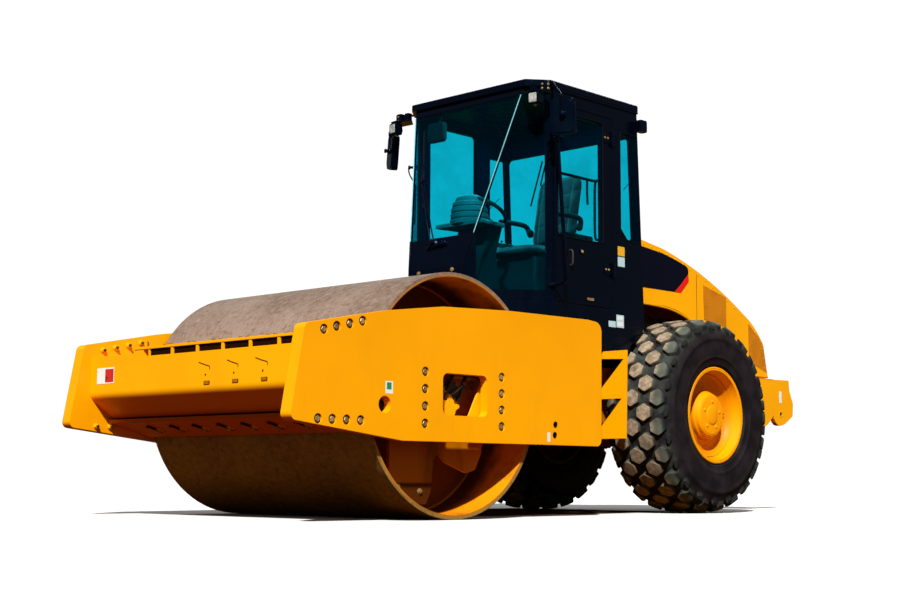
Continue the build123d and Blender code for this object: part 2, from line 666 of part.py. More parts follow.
with BuildPart() as windshield:
    with BuildSketch(SHIELD.offset(-2)):
        add(shield_face)
    extrude(amount=-GLASS_T)
keep(windshield, "windshield")

quarter_face = rounded_outline([(*QUARTER[0], 30), (*QUARTER[1], 60), (*QUARTER[2], 60), (*QUARTER[3], 0),
                                (*QUARTER[4], 0)])
with BuildPart() as side_windows:
    for s in (-1, 1):
        with BuildSketch(Plane.YZ.offset(s * (CAB_HALF - 2))):
            add(quarter_face)
        extrude(amount=-s * GLASS_T)
    y0, y1, z0, z1, r = RIGHT_WINDOW
    with BuildSketch(Plane.YZ.offset(-CAB_HALF + 2)):
        with Locations(((y0 + y1) / 2, (z0 + z1) / 2)):
            RectangleRounded(y1 - y0, z1 - z0, r)
    extrude(amount=GLASS_T)
keep(side_windows, "side_windows")

REAR_UP = Vector(0, -CAB_REAR_SLOPE, 1).normalized()
REAR = Plane(origin=(0, CAB_REAR_Z0_Y, CAB_FLOOR_Z), x_dir=(-1, 0, 0), z_dir=(0, REAR_UP.Z, -REAR_UP.Y))
with BuildPart() as rear_window:
    with BuildSketch(REAR.offset(-10)):
        with Locations((0, (REAR_WINDOW[1] + REAR_WINDOW[2]) / 2 - CAB_FLOOR_Z)):
            Rectangle(REAR_WINDOW[0] + 200, REAR_WINDOW[2] - REAR_WINDOW[1] + 200)
    extrude(amount=-GLASS_T)
    with BuildSketch(Plane.XZ.offset(-600)):
        with Locations((0, (REAR_WINDOW[1] + REAR_WINDOW[2]) / 2)):
            RectangleRounded(REAR_WINDOW[0], REAR_WINDOW[2] - REAR_WINDOW[1], 40)
    extrude(amount=-400, mode=Mode.INTERSECT)
keep(rear_window, "rear_window")

# ---------------------------------------------------------------- left door
DOOR_T = 45.0
with BuildPart() as door_panel:
    with BuildSketch(Plane.YZ.offset(CAB_HALF - DOOR_T)):
        with Locations(((DOOR_Y0 + DOOR_Y1) / 2, (DOOR_Z0 + DOOR_Z1) / 2)):
            Rectangle(DOOR_Y1 - DOOR_Y0, DOOR_Z1 - DOOR_Z0)
        y0, y1, z0, z1, r = DOOR_WINDOW
        with Locations(((y0 + y1) / 2, (z0 + z1) / 2)):
            RectangleRounded(y1 - y0, z1 - z0, r, mode=Mode.SUBTRACT)
    extrude(amount=DOOR_T)
    for z in KNUCKLES:
        with BuildSketch(Plane.XY.offset(z)):
            with Locations(DOOR_AXIS):
                Circle(12)
            with Locations((CAB_HALF + 2, DOOR_AXIS[1] - 32)):
                Rectangle(4, 60)
            with Locations((CAB_HALF + 5, DOOR_AXIS[1] - 8)):
                Rectangle(10, 12)
        extrude(amount=60)
        with BuildSketch(Plane.XY.offset(z)):
            with Locations(DOOR_AXIS):
                Circle(6 + FIT)
        extrude(amount=60, mode=Mode.SUBTRACT)
keep(door_panel, "door_panel")
with BuildPart() as door_window:
    y0, y1, z0, z1, r = DOOR_WINDOW
    with BuildSketch(Plane.YZ.offset(CAB_HALF - 2 - GLASS_T)):
        with Locations(((y0 + y1) / 2, (z0 + z1) / 2)):
            RectangleRounded(y1 - y0, z1 - z0, r)
    extrude(amount=GLASS_T)
keep(door_window, "door_window")

# ---------------------------------------------------------------- cab fittings
with BuildPart() as seat_base:
    with BuildSketch(Plane.XY.offset(CAB_WALL_Z)):
        with Locations((0, 330)):
            RectangleRounded(420, 420, 30)
    extrude(amount=380)
keep(seat_base, "seat_base")
with BuildPart() as seat_cushion:
    with BuildSketch(Plane.XY.offset(1925)):
        with Locations((0, 300)):
            RectangleRounded(500, 500, 60)
    extrude(amount=110)
keep(seat_cushion, "seat_cushion")
with BuildPart() as seat_backrest:
    with BuildSketch(Plane.YZ.offset(-235)):
        with BuildLine():
            Polyline((520, 2042), (620, 2042), (735, 2650), (645, 2665), close=True)
        make_face()
    extrude(amount=470)
keep(seat_backrest, "seat_backrest")

# front console with the steering column
with BuildPart() as steering_console:
    with BuildSketch(Plane.YZ.offset(-150)):
        with BuildLine():
            Polyline((-440, CAB_WALL_Z), (-200, CAB_WALL_Z), (-260, 1900), (-190, 2110), (-330, 2160), (-400, 1900),
                     close=True)
        make_face()
    extrude(amount=300)
keep(steering_console, "steering_console")
WHEEL_TILT = 28.0
WHEEL_PLANE = Plane(origin=(0, -255, 2230), x_dir=(1, 0, 0), z_dir=(0, sin(radians(WHEEL_TILT)), cos(radians(WHEEL_TILT))))
with BuildPart() as steering_wheel:
    with BuildSketch(Plane(origin=WHEEL_PLANE.origin, x_dir=(1, 0, 0), z_dir=-WHEEL_PLANE.y_dir)):
        with Locations((190, 0)):
            Circle(15)
    revolve(axis=Axis(WHEEL_PLANE.origin, WHEEL_PLANE.z_dir))
    with BuildSketch(WHEEL_PLANE.offset(-30)):
        Circle(45)
    extrude(amount=35)
    with BuildSketch(WHEEL_PLANE.offset(-8)):
        for a in (90, 210, 330):
            with Locations(Location((0, 0, 0), a)):
                with Locations((100, 0)):
                    Rectangle(160, 34)
    extrude(amount=14)
    with BuildSketch(WHEEL_PLANE.offset(-90)):
        Circle(20)
    extrude(amount=70)
    with BuildSketch(Plane.YZ.offset(-150)):
        with BuildLine():
            Polyline((-440, CAB_WALL_Z), (-200, CAB_WALL_Z), (-260, 1900), (-190, 2110), (-330, 2160), (-400, 1900),
                     close=True)
        make_face()
    extrude(amount=300, mode=Mode.SUBTRACT)
keep(steering_wheel, "steering_wheel")

# mirrors on arms from the roof's front corners
MIRROR = (866.0, -342.0, 2802.0)
MIRROR_FACE = Plane(origin=MIRROR, x_dir=(cos(radians(30)), sin(radians(30)), 0), z_dir=(sin(radians(30)), -cos(radians(30)), 0))


def mirror_on_arm(roll):
    """Mirror housing rolled about its own face by an angle, on its bent arm."""
    with BuildPart() as one:
        with BuildSketch(MIRROR_FACE.offset(-25)):
            RectangleRounded(180, 272, 40, rotation=roll)
        extrude(amount=50)
        with BuildLine() as arm_line:
            FilletPolyline((690, -262, 3085), (750, -325, 3085), (872, -378, 2960), (872, -368, 2835), radius=25)
        with BuildSketch(Plane(origin=arm_line.line @ 0, z_dir=arm_line.line % 0)):
            Circle(9)
        sweep(path=arm_line.line)
    return one.part


with BuildPart() as mirrors:
    add(mirror_on_arm(2))
    add(mirror(mirror_on_arm(15), about=Plane.YZ, mode=Mode.PRIVATE))
    add(cab_roof.part, mode=Mode.SUBTRACT)
keep(mirrors, "mirrors")

# work lamps: one under a bracket at each front corner, one at each rear corner
LAMPS = [(710.0, -466.0, 2942.0, 8.0)]   # x, y, z, turn
with BuildPart() as lamps_left:
    for x, y, z, turn in LAMPS:
        face = Plane(origin=(x, y, z), x_dir=(cos(radians(turn)), sin(radians(turn)), 0),
                     z_dir=(sin(radians(turn)), -cos(radians(turn)), 0))
        with BuildSketch(face.offset(-30)):
            RectangleRounded(86, 88, 12)
        extrude(amount=60)
    with BuildSketch(Plane.XY.offset(2990)):
        with BuildLine():
            Polyline((560, -440), (600, -470), (680, -500), (742, -488), (772, -420), (764, -352), (640, -345), close=True)
        make_face()
    extrude(amount=12)
    with BuildSketch(Plane.XY.offset(2976)):
        with Locations((710, -464)):
            RectangleRounded(30, 40, 6)
    extrude(amount=14)
    # clamp block beside the roof edge
    with BuildSketch(Plane.XY.offset(3002)):
        with Locations((734, -386)):
            RectangleRounded(58, 62, 10)
    extrude(amount=70)
    with BuildSketch(Plane.XY.offset(2990)):
        with Locations((640, -400)):
            Rectangle(40, 40)
    extrude(amount=CAB_EAVE_Z - 2990)
    with BuildSketch(Plane.XY.offset(2905)):
        with Locations((728, 770)):
            RectangleRounded(56, 80, 10)
    extrude(amount=90)
    with BuildSketch(Plane.XY.offset(2940)):
        with Locations((705, 745)):
            Rectangle(30, 20)
    extrude(amount=30)
with BuildPart() as work_lights:
    add(lamps_left.part)
    add(mirror(lamps_left.part, about=Plane.YZ, mode=Mode.PRIVATE))
    add(cab_outside, mode=Mode.SUBTRACT)
    add(cab_roof.part, mode=Mode.SUBTRACT)
keep(work_lights, "work_lights")

with BuildPart() as rail_left:
    with BuildLine() as rail_line:
        FilletPolyline((664, -258, 2668), (808, -338, 2668), (808, -240, 1640), (664, -258, 1618), radius=55)
    with BuildSketch(Plane(origin=rail_line.line @ 0, z_dir=rail_line.line % 0)):
        Circle(14)
    sweep(path=rail_line.line)
with BuildPart() as grab_rail:
    add(rail_left.part)
    add(cab_outside, mode=Mode.SUBTRACT)
keep(grab_rail, "grab_rail")

# ---------------------------------------------------------------- hood
HOOD_FRONT_Y, HOOD_LOW = 872.0, 1113.0
with BuildPart() as hood_shell:
    with BuildSketch(Plane.YZ.offset(-HOOD_HALF)):
        with BuildLine():
            Line((HOOD_FRONT_Y, HOOD_LOW), (HOOD_FRONT_Y, 2102))
            Line((HOOD_FRONT_Y, 2102), (1185, 2058))
            ThreePointArc((1185, 2058), (1764, 1888), (2322, 1635))
            ThreePointArc((2322, 1635), (2525, 1505), (2626, 1398))
            Line((2626, 1398), (2691, HOOD_LOW))
            Line((2691, HOOD_LOW), (HOOD_FRONT_Y, HOOD_LOW))
        make_face()
    extrude(amount=2 * HOOD_HALF)
    openings = [hood_shell.faces().sort_by(Axis.Z)[0], hood_shell.faces().sort_by(Axis.Y)[0]]
    offset(amount=-HOOD_T, openings=openings, kind=Kind.INTERSECTION)
    # wheel arches through both sides
    with BuildSketch(Plane.YZ.offset(-HOOD_HALF - 10)):
        with BuildLine():
            Line((HOOD_FRONT_Y - 20, 1000), (HOOD_FRONT_Y - 20, 1603))
            Line((HOOD_FRONT_Y - 20, 1603), (1080, 1600))
            ThreePointArc((1080, 1600), (1740, 1415), (2060, 1000))
            Line((2060, 1000), (HOOD_FRONT_Y - 20, 1000))
        make_face()
    extrude(amount=2 * HOOD_HALF + 20, mode=Mode.SUBTRACT)
    # hinge knuckles under the skin
    for x in (360, -420):
        with BuildSketch(Plane.YZ.offset(x)):
            with Locations((HOOD_HINGE_Y, 2052)):
                Rectangle(36, 36)
            with Locations((HOOD_HINGE_Y, HOOD_HINGE_Z)):
                Circle(25)
        extrude(amount=60)
        with BuildSketch(Plane.YZ.offset(x)):
            with Locations((HOOD_HINGE_Y, HOOD_HINGE_Z)):
                Circle(12 + FIT)
        extrude(amount=60, mode=Mode.SUBTRACT)
keep(hood_shell, "hood_shell")

# ---------------------------------------------------------------- wheels
# tyre section, columns: distance from the tyre's middle, radius
TYRE_SECTION = [(-240, 345), (-240, 372), (-264, 384), (-292, 495), (-290, 605), (-262, 699), (-225, 729), (-150, 739),
                (0, TYRE_R)]
WHEEL_AXIS = Axis((0, AXLE_Y, TYRE_R), (1, 0, 0))
section_plane = Plane(origin=(0, AXLE_Y, TYRE_R), x_dir=(1, 0, 0), z_dir=(0, -1, 0))
DISC_X, HUB_FACE_X, HUB_BACK_X = 880.0, 990.0, 562.0
with BuildPart() as tyre_left:
    with BuildSketch(section_plane):
        with BuildLine():
            Polyline(*[(TYRE_X + x, r) for x, r in TYRE_SECTION],
                     *[(TYRE_X - x, r) for x, r in reversed(TYRE_SECTION[:-1])], close=True)
        make_face()
    revolve(axis=WHEEL_AXIS)
keep(tyre_left, "tyre_left")
with BuildPart() as tyre_right:
    add(mirror(tyre_left.part, about=Plane.YZ, mode=Mode.PRIVATE))
keep(tyre_right, "tyre_right")
with BuildPart() as rim_left:
    with BuildSketch(section_plane):
        with BuildLine():
            Polyline((TYRE_X - 258, 368), (TYRE_X - 240, 368), (TYRE_X - 240, 345), (TYRE_X + 240, 345),
                     (TYRE_X + 240, 368), (TYRE_X + 258, 368), (TYRE_X + 258, 342), (TYRE_X + 180, 318),
                     (DISC_X + 22, 316), (DISC_X + 22, 190), (HUB_FACE_X - 40, 184), (HUB_FACE_X - 30, 172),
                     (HUB_FACE_X - 8, 166), (HUB_FACE_X, 156), (HUB_FACE_X, 0), (HUB_BACK_X, 0), (HUB_BACK_X, 150), (DISC_X, 150), (DISC_X, 316),
                     (TYRE_X - 180, 318), (TYRE_X - 258, 342), close=True)
        make_face()
    revolve(axis=WHEEL_AXIS)
keep(rim_left, "rim_left")
with BuildPart() as rim_right:
    add(mirror(rim_left.part, about=Plane.YZ, mode=Mode.PRIVATE))
keep(rim_right, "rim_right")

# ---------------------------------------------------------------- steering cylinders
CYL_DX, CYL_DY = ROD_X - CYL_X, ROD_Y - CYL_Y
CYL_LEN = hypot(CYL_DX, CYL_DY)
CYL_DIR = Vector(CYL_DX / CYL_LEN, CYL_DY / CYL_LEN, 0)
ANCHOR = Vector(CYL_X, CYL_Y, ROD_Z)
BARREL_START, BARREL_END, ROD_R, BARREL_R = 50.0, 430.0, 22.0, 46.0
with BuildPart() as barrel_left_part:
    with BuildSketch(Plane(origin=ANCHOR + CYL_DIR * BARREL_START, z_dir=CYL_DIR)):
        Circle(BARREL_R)
    extrude(amount=BARREL_END - BARREL_START)
    with BuildSketch(Plane.XY.offset(ROD_Z - 34)):
        with Locations((CYL_X, CYL_Y)):
            Circle(38)
        with Locations(Location((CYL_X + CYL_DIR.X * 30, CYL_Y + CYL_DIR.Y * 30, 0), degrees(atan2(CYL_DIR.Y, CYL_DIR.X)))):
            Rectangle(60, 60)
    extrude(amount=68)
    with BuildSketch(Plane.XY.offset(ROD_Z - 34)):
        with Locations((CYL_X, CYL_Y)):
            Circle(22 + FIT)
    extrude(amount=68, mode=Mode.SUBTRACT)
    with BuildSketch(Plane(origin=ANCHOR + CYL_DIR * 70, z_dir=CYL_DIR)):
        Circle(ROD_R + FIT)
    extrude(amount=BARREL_END - 60, mode=Mode.SUBTRACT)
with BuildPart() as rod_left_part:
    with BuildSketch(Plane(origin=ANCHOR + CYL_DIR * 240, z_dir=CYL_DIR)):
        Circle(ROD_R)
    extrude(amount=CYL_LEN - 240 - 20)
    with BuildSketch(Plane.XY.offset(ROD_Z - 21)):
        with Locations((ROD_X, ROD_Y)):
            Circle(38)
            Circle(20, mode=Mode.SUBTRACT)
    extrude(amount=42)
    with BuildSketch(Plane.XY.offset(ROD_Z - 30)):
        with Locations((ROD_X, ROD_Y)):
            Circle(20)
    extrude(amount=60, mode=Mode.SUBTRACT)
keep(barrel_left_part, "cylinder_barrel_left")
keep(rod_left_part, "cylinder_rod_left")
with BuildPart() as barrel_right_part:
    add(mirror(barrel_left_part.part, about=Plane.YZ, mode=Mode.PRIVATE))
keep(barrel_right_part, "cylinder_barrel_right")
with BuildPart() as rod_right_part:
    add(mirror(rod_left_part.part, about=Plane.YZ, mode=Mode.PRIVATE))
keep(rod_right_part, "cylinder_rod_right")

for builder, name in pieces:
    builder.part.label = name
    export_step(builder.part, f"parts/{name}.step")
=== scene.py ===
"""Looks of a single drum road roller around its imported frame. Metres: +X the machine's left, +Y its rear, +Z up."""
import json
import math
import random

import bmesh
import bpy
from mathutils import Matrix, Vector


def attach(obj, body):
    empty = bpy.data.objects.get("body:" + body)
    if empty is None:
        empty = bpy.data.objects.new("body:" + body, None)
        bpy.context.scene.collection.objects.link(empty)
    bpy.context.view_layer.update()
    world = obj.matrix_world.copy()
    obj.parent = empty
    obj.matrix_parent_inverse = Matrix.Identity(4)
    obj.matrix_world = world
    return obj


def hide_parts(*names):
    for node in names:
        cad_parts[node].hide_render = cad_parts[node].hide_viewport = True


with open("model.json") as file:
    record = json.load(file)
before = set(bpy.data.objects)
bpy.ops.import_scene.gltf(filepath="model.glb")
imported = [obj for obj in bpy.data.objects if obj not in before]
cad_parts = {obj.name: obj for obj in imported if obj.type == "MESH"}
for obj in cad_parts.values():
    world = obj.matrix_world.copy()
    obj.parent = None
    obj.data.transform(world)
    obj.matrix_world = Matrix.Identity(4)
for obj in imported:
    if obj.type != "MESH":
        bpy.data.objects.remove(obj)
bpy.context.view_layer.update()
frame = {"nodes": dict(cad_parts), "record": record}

NODES = frame["nodes"]
rng = random.Random(7)

# ---------------------------------------------------------------- camera
scene = bpy.context.scene
YAW, PITCH, ROLL, FOCAL_PX = 0.7623, 0.1184, 0.0048, 1497.5
ahead = Vector((-math.sin(YAW) * math.cos(PITCH), math.cos(YAW) * math.cos(PITCH), math.sin(PITCH)))
level = Vector((math.cos(YAW), math.sin(YAW), 0))
above = level.cross(ahead)
cam_x = level * math.cos(ROLL) + above * math.sin(ROLL)
cam_y = -level * math.sin(ROLL) + above * math.cos(ROLL)
camera_data = bpy.data.cameras.new("camera")
camera_data.sensor_width = 36.0
camera_data.lens = FOCAL_PX / 900 * 36.0
camera_data.clip_end = 400
camera = bpy.data.objects.new("camera", camera_data)
camera.matrix_world = Matrix(((cam_x.x, cam_y.x, -ahead.x, 7.4703), (cam_x.y, cam_y.y, -ahead.y, -8.4148),
                              (cam_x.z, cam_y.z, -ahead.z, 0.2543), (0, 0, 0, 1)))
scene.collection.objects.link(camera)
scene.camera = camera
scene.view_settings.view_transform = "Standard"


# ---------------------------------------------------------------- materials
class Shader:
    """A Principled material built from nodes; textures read the piece's own coordinates in metres."""

    def __init__(self, name):
        self.material = bpy.data.materials.new(name)
        self.material.use_nodes = True
        self.tree = self.material.node_tree
        self.tree.nodes.clear()
        self.output = self.tree.nodes.new("ShaderNodeOutputMaterial")
        self.bsdf = self.tree.nodes.new("ShaderNodeBsdfPrincipled")
        self.tree.links.new(self.bsdf.outputs[0], self.output.inputs["Surface"])
        self.at = self.tree.nodes.new("ShaderNodeTexCoord").outputs["Object"]
        split = self.tree.nodes.new("ShaderNodeSeparateXYZ")
        self.tree.links.new(self.at, split.inputs[0])
        self.x, self.y, self.z = split.outputs[:3]

    def put(self, socket, value):
        if isinstance(value, bpy.types.NodeSocket):
            self.tree.links.new(value, socket)
        else:
            if isinstance(value, (tuple, list)) and len(value) == 3 and len(socket.default_value) == 4:
                value = (*value, 1.0)
            socket.default_value = value

    def calc(self, kind, a, b=0.0, clamp=False):
        n = self.tree.nodes.new("ShaderNodeMath")
        n.operation, n.use_clamp = kind, clamp
        self.put(n.inputs[0], a)
        self.put(n.inputs[1], b)
        return n.outputs[0]

    def stretch(self, scale):
        n = self.tree.nodes.new("ShaderNodeMapping")
        self.put(n.inputs["Vector"], self.at)
        n.inputs["Scale"].default_value = scale
        return n.outputs[0]

    def join(self, x, y, z):
        n = self.tree.nodes.new("ShaderNodeCombineXYZ")
        for s, v in zip(n.inputs, (x, y, z)):
            self.put(s, v)
        return n.outputs[0]

    def noise(self, scale, detail=4.0, rough=0.55, at=None, twist=0.0):
        n = self.tree.nodes.new("ShaderNodeTexNoise")
        self.put(n.inputs["Vector"], at or self.at)
        n.inputs["Scale"].default_value = scale
        n.inputs["Detail"].default_value = detail
        n.inputs["Roughness"].default_value = rough
        n.inputs["Distortion"].default_value = twist
        return n.outputs["Fac"]

    def cells(self, scale, at=None, feature="F1", out="Distance"):
        n = self.tree.nodes.new("ShaderNodeTexVoronoi")
        n.feature = feature
        self.put(n.inputs["Vector"], at or self.at)
        n.inputs["Scale"].default_value = scale
        return n.outputs[out]

    def steps(self, value, low, high, a=0.0, b=1.0):
        n = self.tree.nodes.new("ShaderNodeMapRange")
        n.interpolation_type = "SMOOTHSTEP"
        self.put(n.inputs["Value"], value)
        for key, v in (("From Min", low), ("From Max", high), ("To Min", a), ("To Max", b)):
            n.inputs[key].default_value = v
        return n.outputs[0]

    def mix(self, share, a, b, kind="MIX"):
        n = self.tree.nodes.new("ShaderNodeMix")
        n.data_type, n.blend_type = "RGBA", kind
        self.put(n.inputs[0], share)
        self.put(n.inputs[6], a)
        self.put(n.inputs[7], b)
        return n.outputs[2]

    def edge(self, radius):
        """About 1 along a convex or concave edge, 0 on a flat face."""
        bevel = self.tree.nodes.new("ShaderNodeBevel")
        bevel.samples = 3
        bevel.inputs["Radius"].default_value = radius
        geometry = self.tree.nodes.new("ShaderNodeNewGeometry")
        dot = self.tree.nodes.new("ShaderNodeVectorMath")
        dot.operation = "DOT_PRODUCT"
        self.put(dot.inputs[0], bevel.outputs[0])
        self.put(dot.inputs[1], geometry.outputs["Normal"])
        return self.calc("SUBTRACT", 1.0, dot.outputs["Value"]), bevel.outputs[0]

    def bump(self, height, distance, strength=1.0, normal=None):
        n = self.tree.nodes.new("ShaderNodeBump")
        n.inputs["Strength"].default_value = strength
        n.inputs["Distance"].default_value = distance
        self.put(n.inputs["Height"], height)
        if normal is not None:
            self.put(n.inputs["Normal"], normal)
        return n.outputs[0]

    def finish(self, colour, rough, normal=None, metal=0.0, specular=0.5, **more):
        self.put(self.bsdf.inputs["Base Color"], colour)
        self.put(self.bsdf.inputs["Roughness"], rough)
        self.put(self.bsdf.inputs["Metallic"], metal)
        self.bsdf.inputs["Specular IOR Level"].default_value = specular
        if normal is not None:
            self.put(self.bsdf.inputs["Normal"], normal)
        for key, value in more.items():
            self.bsdf.inputs[key.replace("_", " ")].default_value = value
        return self.material


def paint(name, colour, dusty, chipped, rough=0.36, dust=0.3, wear=0.5, grime_z=(0.3, 1.3), specular=0.35, marks=(),
          under=None, sheen=None, inner=(), foot=None):
    """Machine paint: faint tone changes, dust that thickens towards the ground, worn edges and blank stickers, with
    optional painted shade inwards, below a height and on faces that look down.
    """
    s = Shader(name)
    tone = s.steps(s.noise(0.9, 3), 0.35, 0.7)
    base = s.mix(tone, tuple(c * 0.93 for c in colour), tuple(min(1.0, c * 1.03) for c in colour))
    streak = s.noise(2.2, 5, 0.65, s.stretch((1.6, 1.6, 0.35)))
    low = s.steps(s.z, *grime_z, 1.0, 0.18)
    amount = s.calc("MULTIPLY", s.calc("MULTIPLY", s.steps(streak, 0.48, 0.78), low), dust, True)
    base = s.mix(amount, base, dusty)
    edge, rounded = s.edge(0.005)
    worn = s.calc("MULTIPLY", s.steps(edge, 0.04, 0.3), s.steps(s.noise(17, 3), 0.5, 0.68))
    base = s.mix(s.calc("MULTIPLY", worn, wear, True), base, chipped)
    for x, y, z, half_w, half_h, sticker in marks:
        # a sticker on a face that looks sideways, at this y and z, beyond this x
        u = s.calc("LESS_THAN", s.calc("ABSOLUTE", s.calc("SUBTRACT", s.y, y)), half_w)
        v = s.calc("LESS_THAN", s.calc("ABSOLUTE", s.calc("SUBTRACT", s.z, z)), half_h)
        here = s.calc("MULTIPLY", s.calc("MULTIPLY", u, v), s.calc("GREATER_THAN", s.calc("ABSOLUTE", s.x), x))
        base = s.mix(here, base, sticker)
    for limit, fade, share, soil in inner:
        # painted shade: darker on the parts closer to the middle of the machine than this
        depth = s.calc("ADD", s.calc("ABSOLUTE", s.x), s.calc("MULTIPLY", s.noise(14, 5), 0.02))
        base = s.mix(s.steps(depth, limit + fade, limit, 0.0, share), base, soil)
    if foot:
        # painted shade: darker below this height
        limit, fade, soil = foot
        base = s.mix(s.steps(s.z, limit, limit + fade, 0.95, 0.0), base, soil)
    if under:
        # painted shade: faces that look down are darkened to red-brown
        geometry = s.tree.nodes.new("ShaderNodeNewGeometry")
        split = s.tree.nodes.new("ShaderNodeSeparateXYZ")
        s.put(split.inputs[0], geometry.outputs["Normal"])
        base = s.mix(s.steps(split.outputs[2], -0.18, -0.75, 0.0, 0.90), base, under)
    more = {"Specular_Tint": (*sheen, 1.0)} if sheen else {}
    grain = s.noise(420, 2)
    r = s.calc("ADD", s.calc("MULTIPLY", amount, 0.4), s.steps(s.noise(6, 3), 0.3, 0.7, rough - 0.04, rough + 0.07))
    return s.finish(base, r, s.bump(grain, 0.0004, 0.25, rounded), specular=specular, **more)


# painted shade: the machine yellow and the side plates' yellow darken to red-brown on faces that look down
YELLOW = paint("machine yellow", (1.0, 0.415, 0.0), (0.52, 0.20, 0.006), (0.30, 0.11, 0.01), dust=0.26, specular=0.16, under=(0.72, 0.118, 0.0))
PLATE_YELLOW = paint("side plate yellow", (1.0, 0.395, 0.0), (0.52, 0.20, 0.006), (0.30, 0.11, 0.01), dust=0.26, specular=0.16, under=(0.72, 0.118, 0.0),
                     marks=[(1.149, -2.308, 0.782, 0.031, 0.036, (0.80, 0.84, 0.78)), (1.149, -2.308, 0.790, 0.019, 0.021, (0.02, 0.26, 0.10)),
                            (1.149, -0.853, 0.525, 0.015, 0.030, (0.78, 0.80, 0.78))])
# painted shade: a darker copy of the machine yellow, under a dark dust film, for parts that sit in shade under and
# inside the machine
YELLOW_SHADED = paint("yellow in painted shade, under dust", (0.46, 0.135, 0.0), (0.13, 0.045, 0.004), (0.08, 0.035, 0.01), rough=0.6, dust=0.95,
                    grime_z=(0.9, 1.9), specular=0.08)
# painted shade: the darker yellow copy for the hanging arms, nearly black below 0.215 m
ARM = paint("hanging arm in painted shade, under dust", (0.46, 0.135, 0.0), (0.13, 0.045, 0.004), (0.08, 0.035, 0.01), rough=0.6, dust=0.95,
            grime_z=(0.9, 1.9), specular=0.08, foot=(0.215, 0.02, (0.055, 0.012, 0.0)))
# painted shade: the bumper yellow darkens on faces that look down, and to red-brown below 0.634 m along the lower lip
BUMPER = paint("bumper yellow", (1.0, 0.415, 0.0), (0.52, 0.20, 0.006), (0.30, 0.11, 0.01), dust=0.26, specular=0.16,
               under=(0.72, 0.118, 0.0), foot=(0.634, 0.008, (0.30, 0.050, 0.0)))
# painted shade: a much darker copy of the yellow for the drum heads, under a soil film
HEAD = paint("drum head in painted shade, under soil", (0.15, 0.036, 0.0), (0.05, 0.016, 0.001), (0.03, 0.012, 0.003), rough=0.7, dust=0.95,
             grime_z=(0.9, 1.9), specular=0.05)
# painted shade: the wheel yellow darkens to red-brown inwards of 0.925 m across the recessed disc, and the rim's inner
# side, inwards of 0.62 m, is near black
RIM = paint("wheel yellow", (1.0, 0.36, 0.0), (0.30, 0.10, 0.006), (0.22, 0.08, 0.012), rough=0.40, dust=0.5,
            grime_z=(0.8, 1.6), specular=0.14, inner=((0.925, 0.07, 0.55, (0.40, 0.095, 0.0)), (0.62, 0.05, 0.97, (0.010, 0.0035, 0.0008))))
BLACK = paint("cab black", (0.0005, 0.0012, 0.0058), (0.0050, 0.0058, 0.0095), (0.015, 0.025, 0.035), rough=0.24, dust=0.25,
              wear=0.25, grime_z=(1.2, 2.2), specular=0.16, sheen=(0.25, 0.70, 1.0))
PANEL_BLACK = paint("panel black", (0.0010, 0.0012, 0.0070), (0.005, 0.006, 0.010), (0.015, 0.020, 0.025), rough=0.30, dust=0.1,
                    wear=0.0, specular=0.16, sheen=(0.35, 0.65, 1.0))
RED = paint("stripe red", (0.80, 0.008, 0.004), (0.3, 0.05, 0.03), (0.3, 0.05, 0.03), rough=0.35, dust=0.1, wear=0.0)
WHITE = paint("label white", (0.85, 0.86, 0.84), (0.4, 0.33, 0.2), (0.5, 0.5, 0.48), rough=0.35, dust=0.15, wear=0.0)
LABEL_RED = paint("label red", (0.62, 0.02, 0.015), (0.35, 0.1, 0.05), (0.5, 0.1, 0.1), rough=0.35, dust=0.15, wear=0.0)
LABEL_GREEN = paint("label green", (0.02, 0.26, 0.10), (0.2, 0.25, 0.1), (0.1, 0.3, 0.2), rough=0.35, dust=0.15, wear=0.0)
LABEL_PALE = paint("label pale blue", (0.50, 0.72, 0.78), (0.3, 0.33, 0.3), (0.4, 0.5, 0.5), rough=0.35, dust=0.2, wear=0.0)
LABEL_YELLOW = paint("label yellow", (0.85, 0.45, 0.02), (0.4, 0.3, 0.1), (0.5, 0.3, 0.1), rough=0.35, dust=0.1, wear=0.0)


def steel(name, dark, light, rough, metal=0.85, scale=9.0):
    s = Shader(name)
    patch = s.steps(s.noise(scale, 6, 0.62), 0.35, 0.68)
    base = s.mix(patch, dark, light)
    edge, rounded = s.edge(0.002)
    r = s.steps(s.noise(scale * 4, 3), 0.3, 0.7, rough - 0.08, rough + 0.1)
    return s.finish(base, r, s.bump(s.noise(260, 3), 0.0004, 0.35, rounded), metal=metal)


BOLT = steel("bolt steel", (0.20, 0.115, 0.035), (0.52, 0.37, 0.15), 0.42, 0.35)
DARK_BOLT = steel("dark screws", (0.020, 0.010, 0.003), (0.075, 0.040, 0.012), 0.5, 0.3)
BROWN = paint("shadowed slots", (0.13, 0.026, 0.0), (0.05, 0.015, 0.0), (0.05, 0.015, 0.0), rough=0.6, dust=0.2, wear=0.0, specular=0.1)
SLOT_DARK = paint("slot shade", (0.016, 0.0035, 0.0), (0.05, 0.012, 0.0), (0.05, 0.015, 0.0), rough=0.8, dust=0.4, wear=0.0, specular=0.03)
SCRAPER = steel("worn scraper plate", (0.10, 0.07, 0.045), (0.30, 0.25, 0.20), 0.5, 0.6)
CAST = steel("oily casting", (0.035, 0.03, 0.026), (0.13, 0.11, 0.09), 0.55, 0.3)
FITTING = steel("plated fitting", (0.05, 0.10, 0.13), (0.16, 0.26, 0.30), 0.35, 0.6)
CHROME = steel("cylinder rod chrome", (0.62, 0.62, 0.63), (0.82, 0.82, 0.83), 0.12, 1.0)


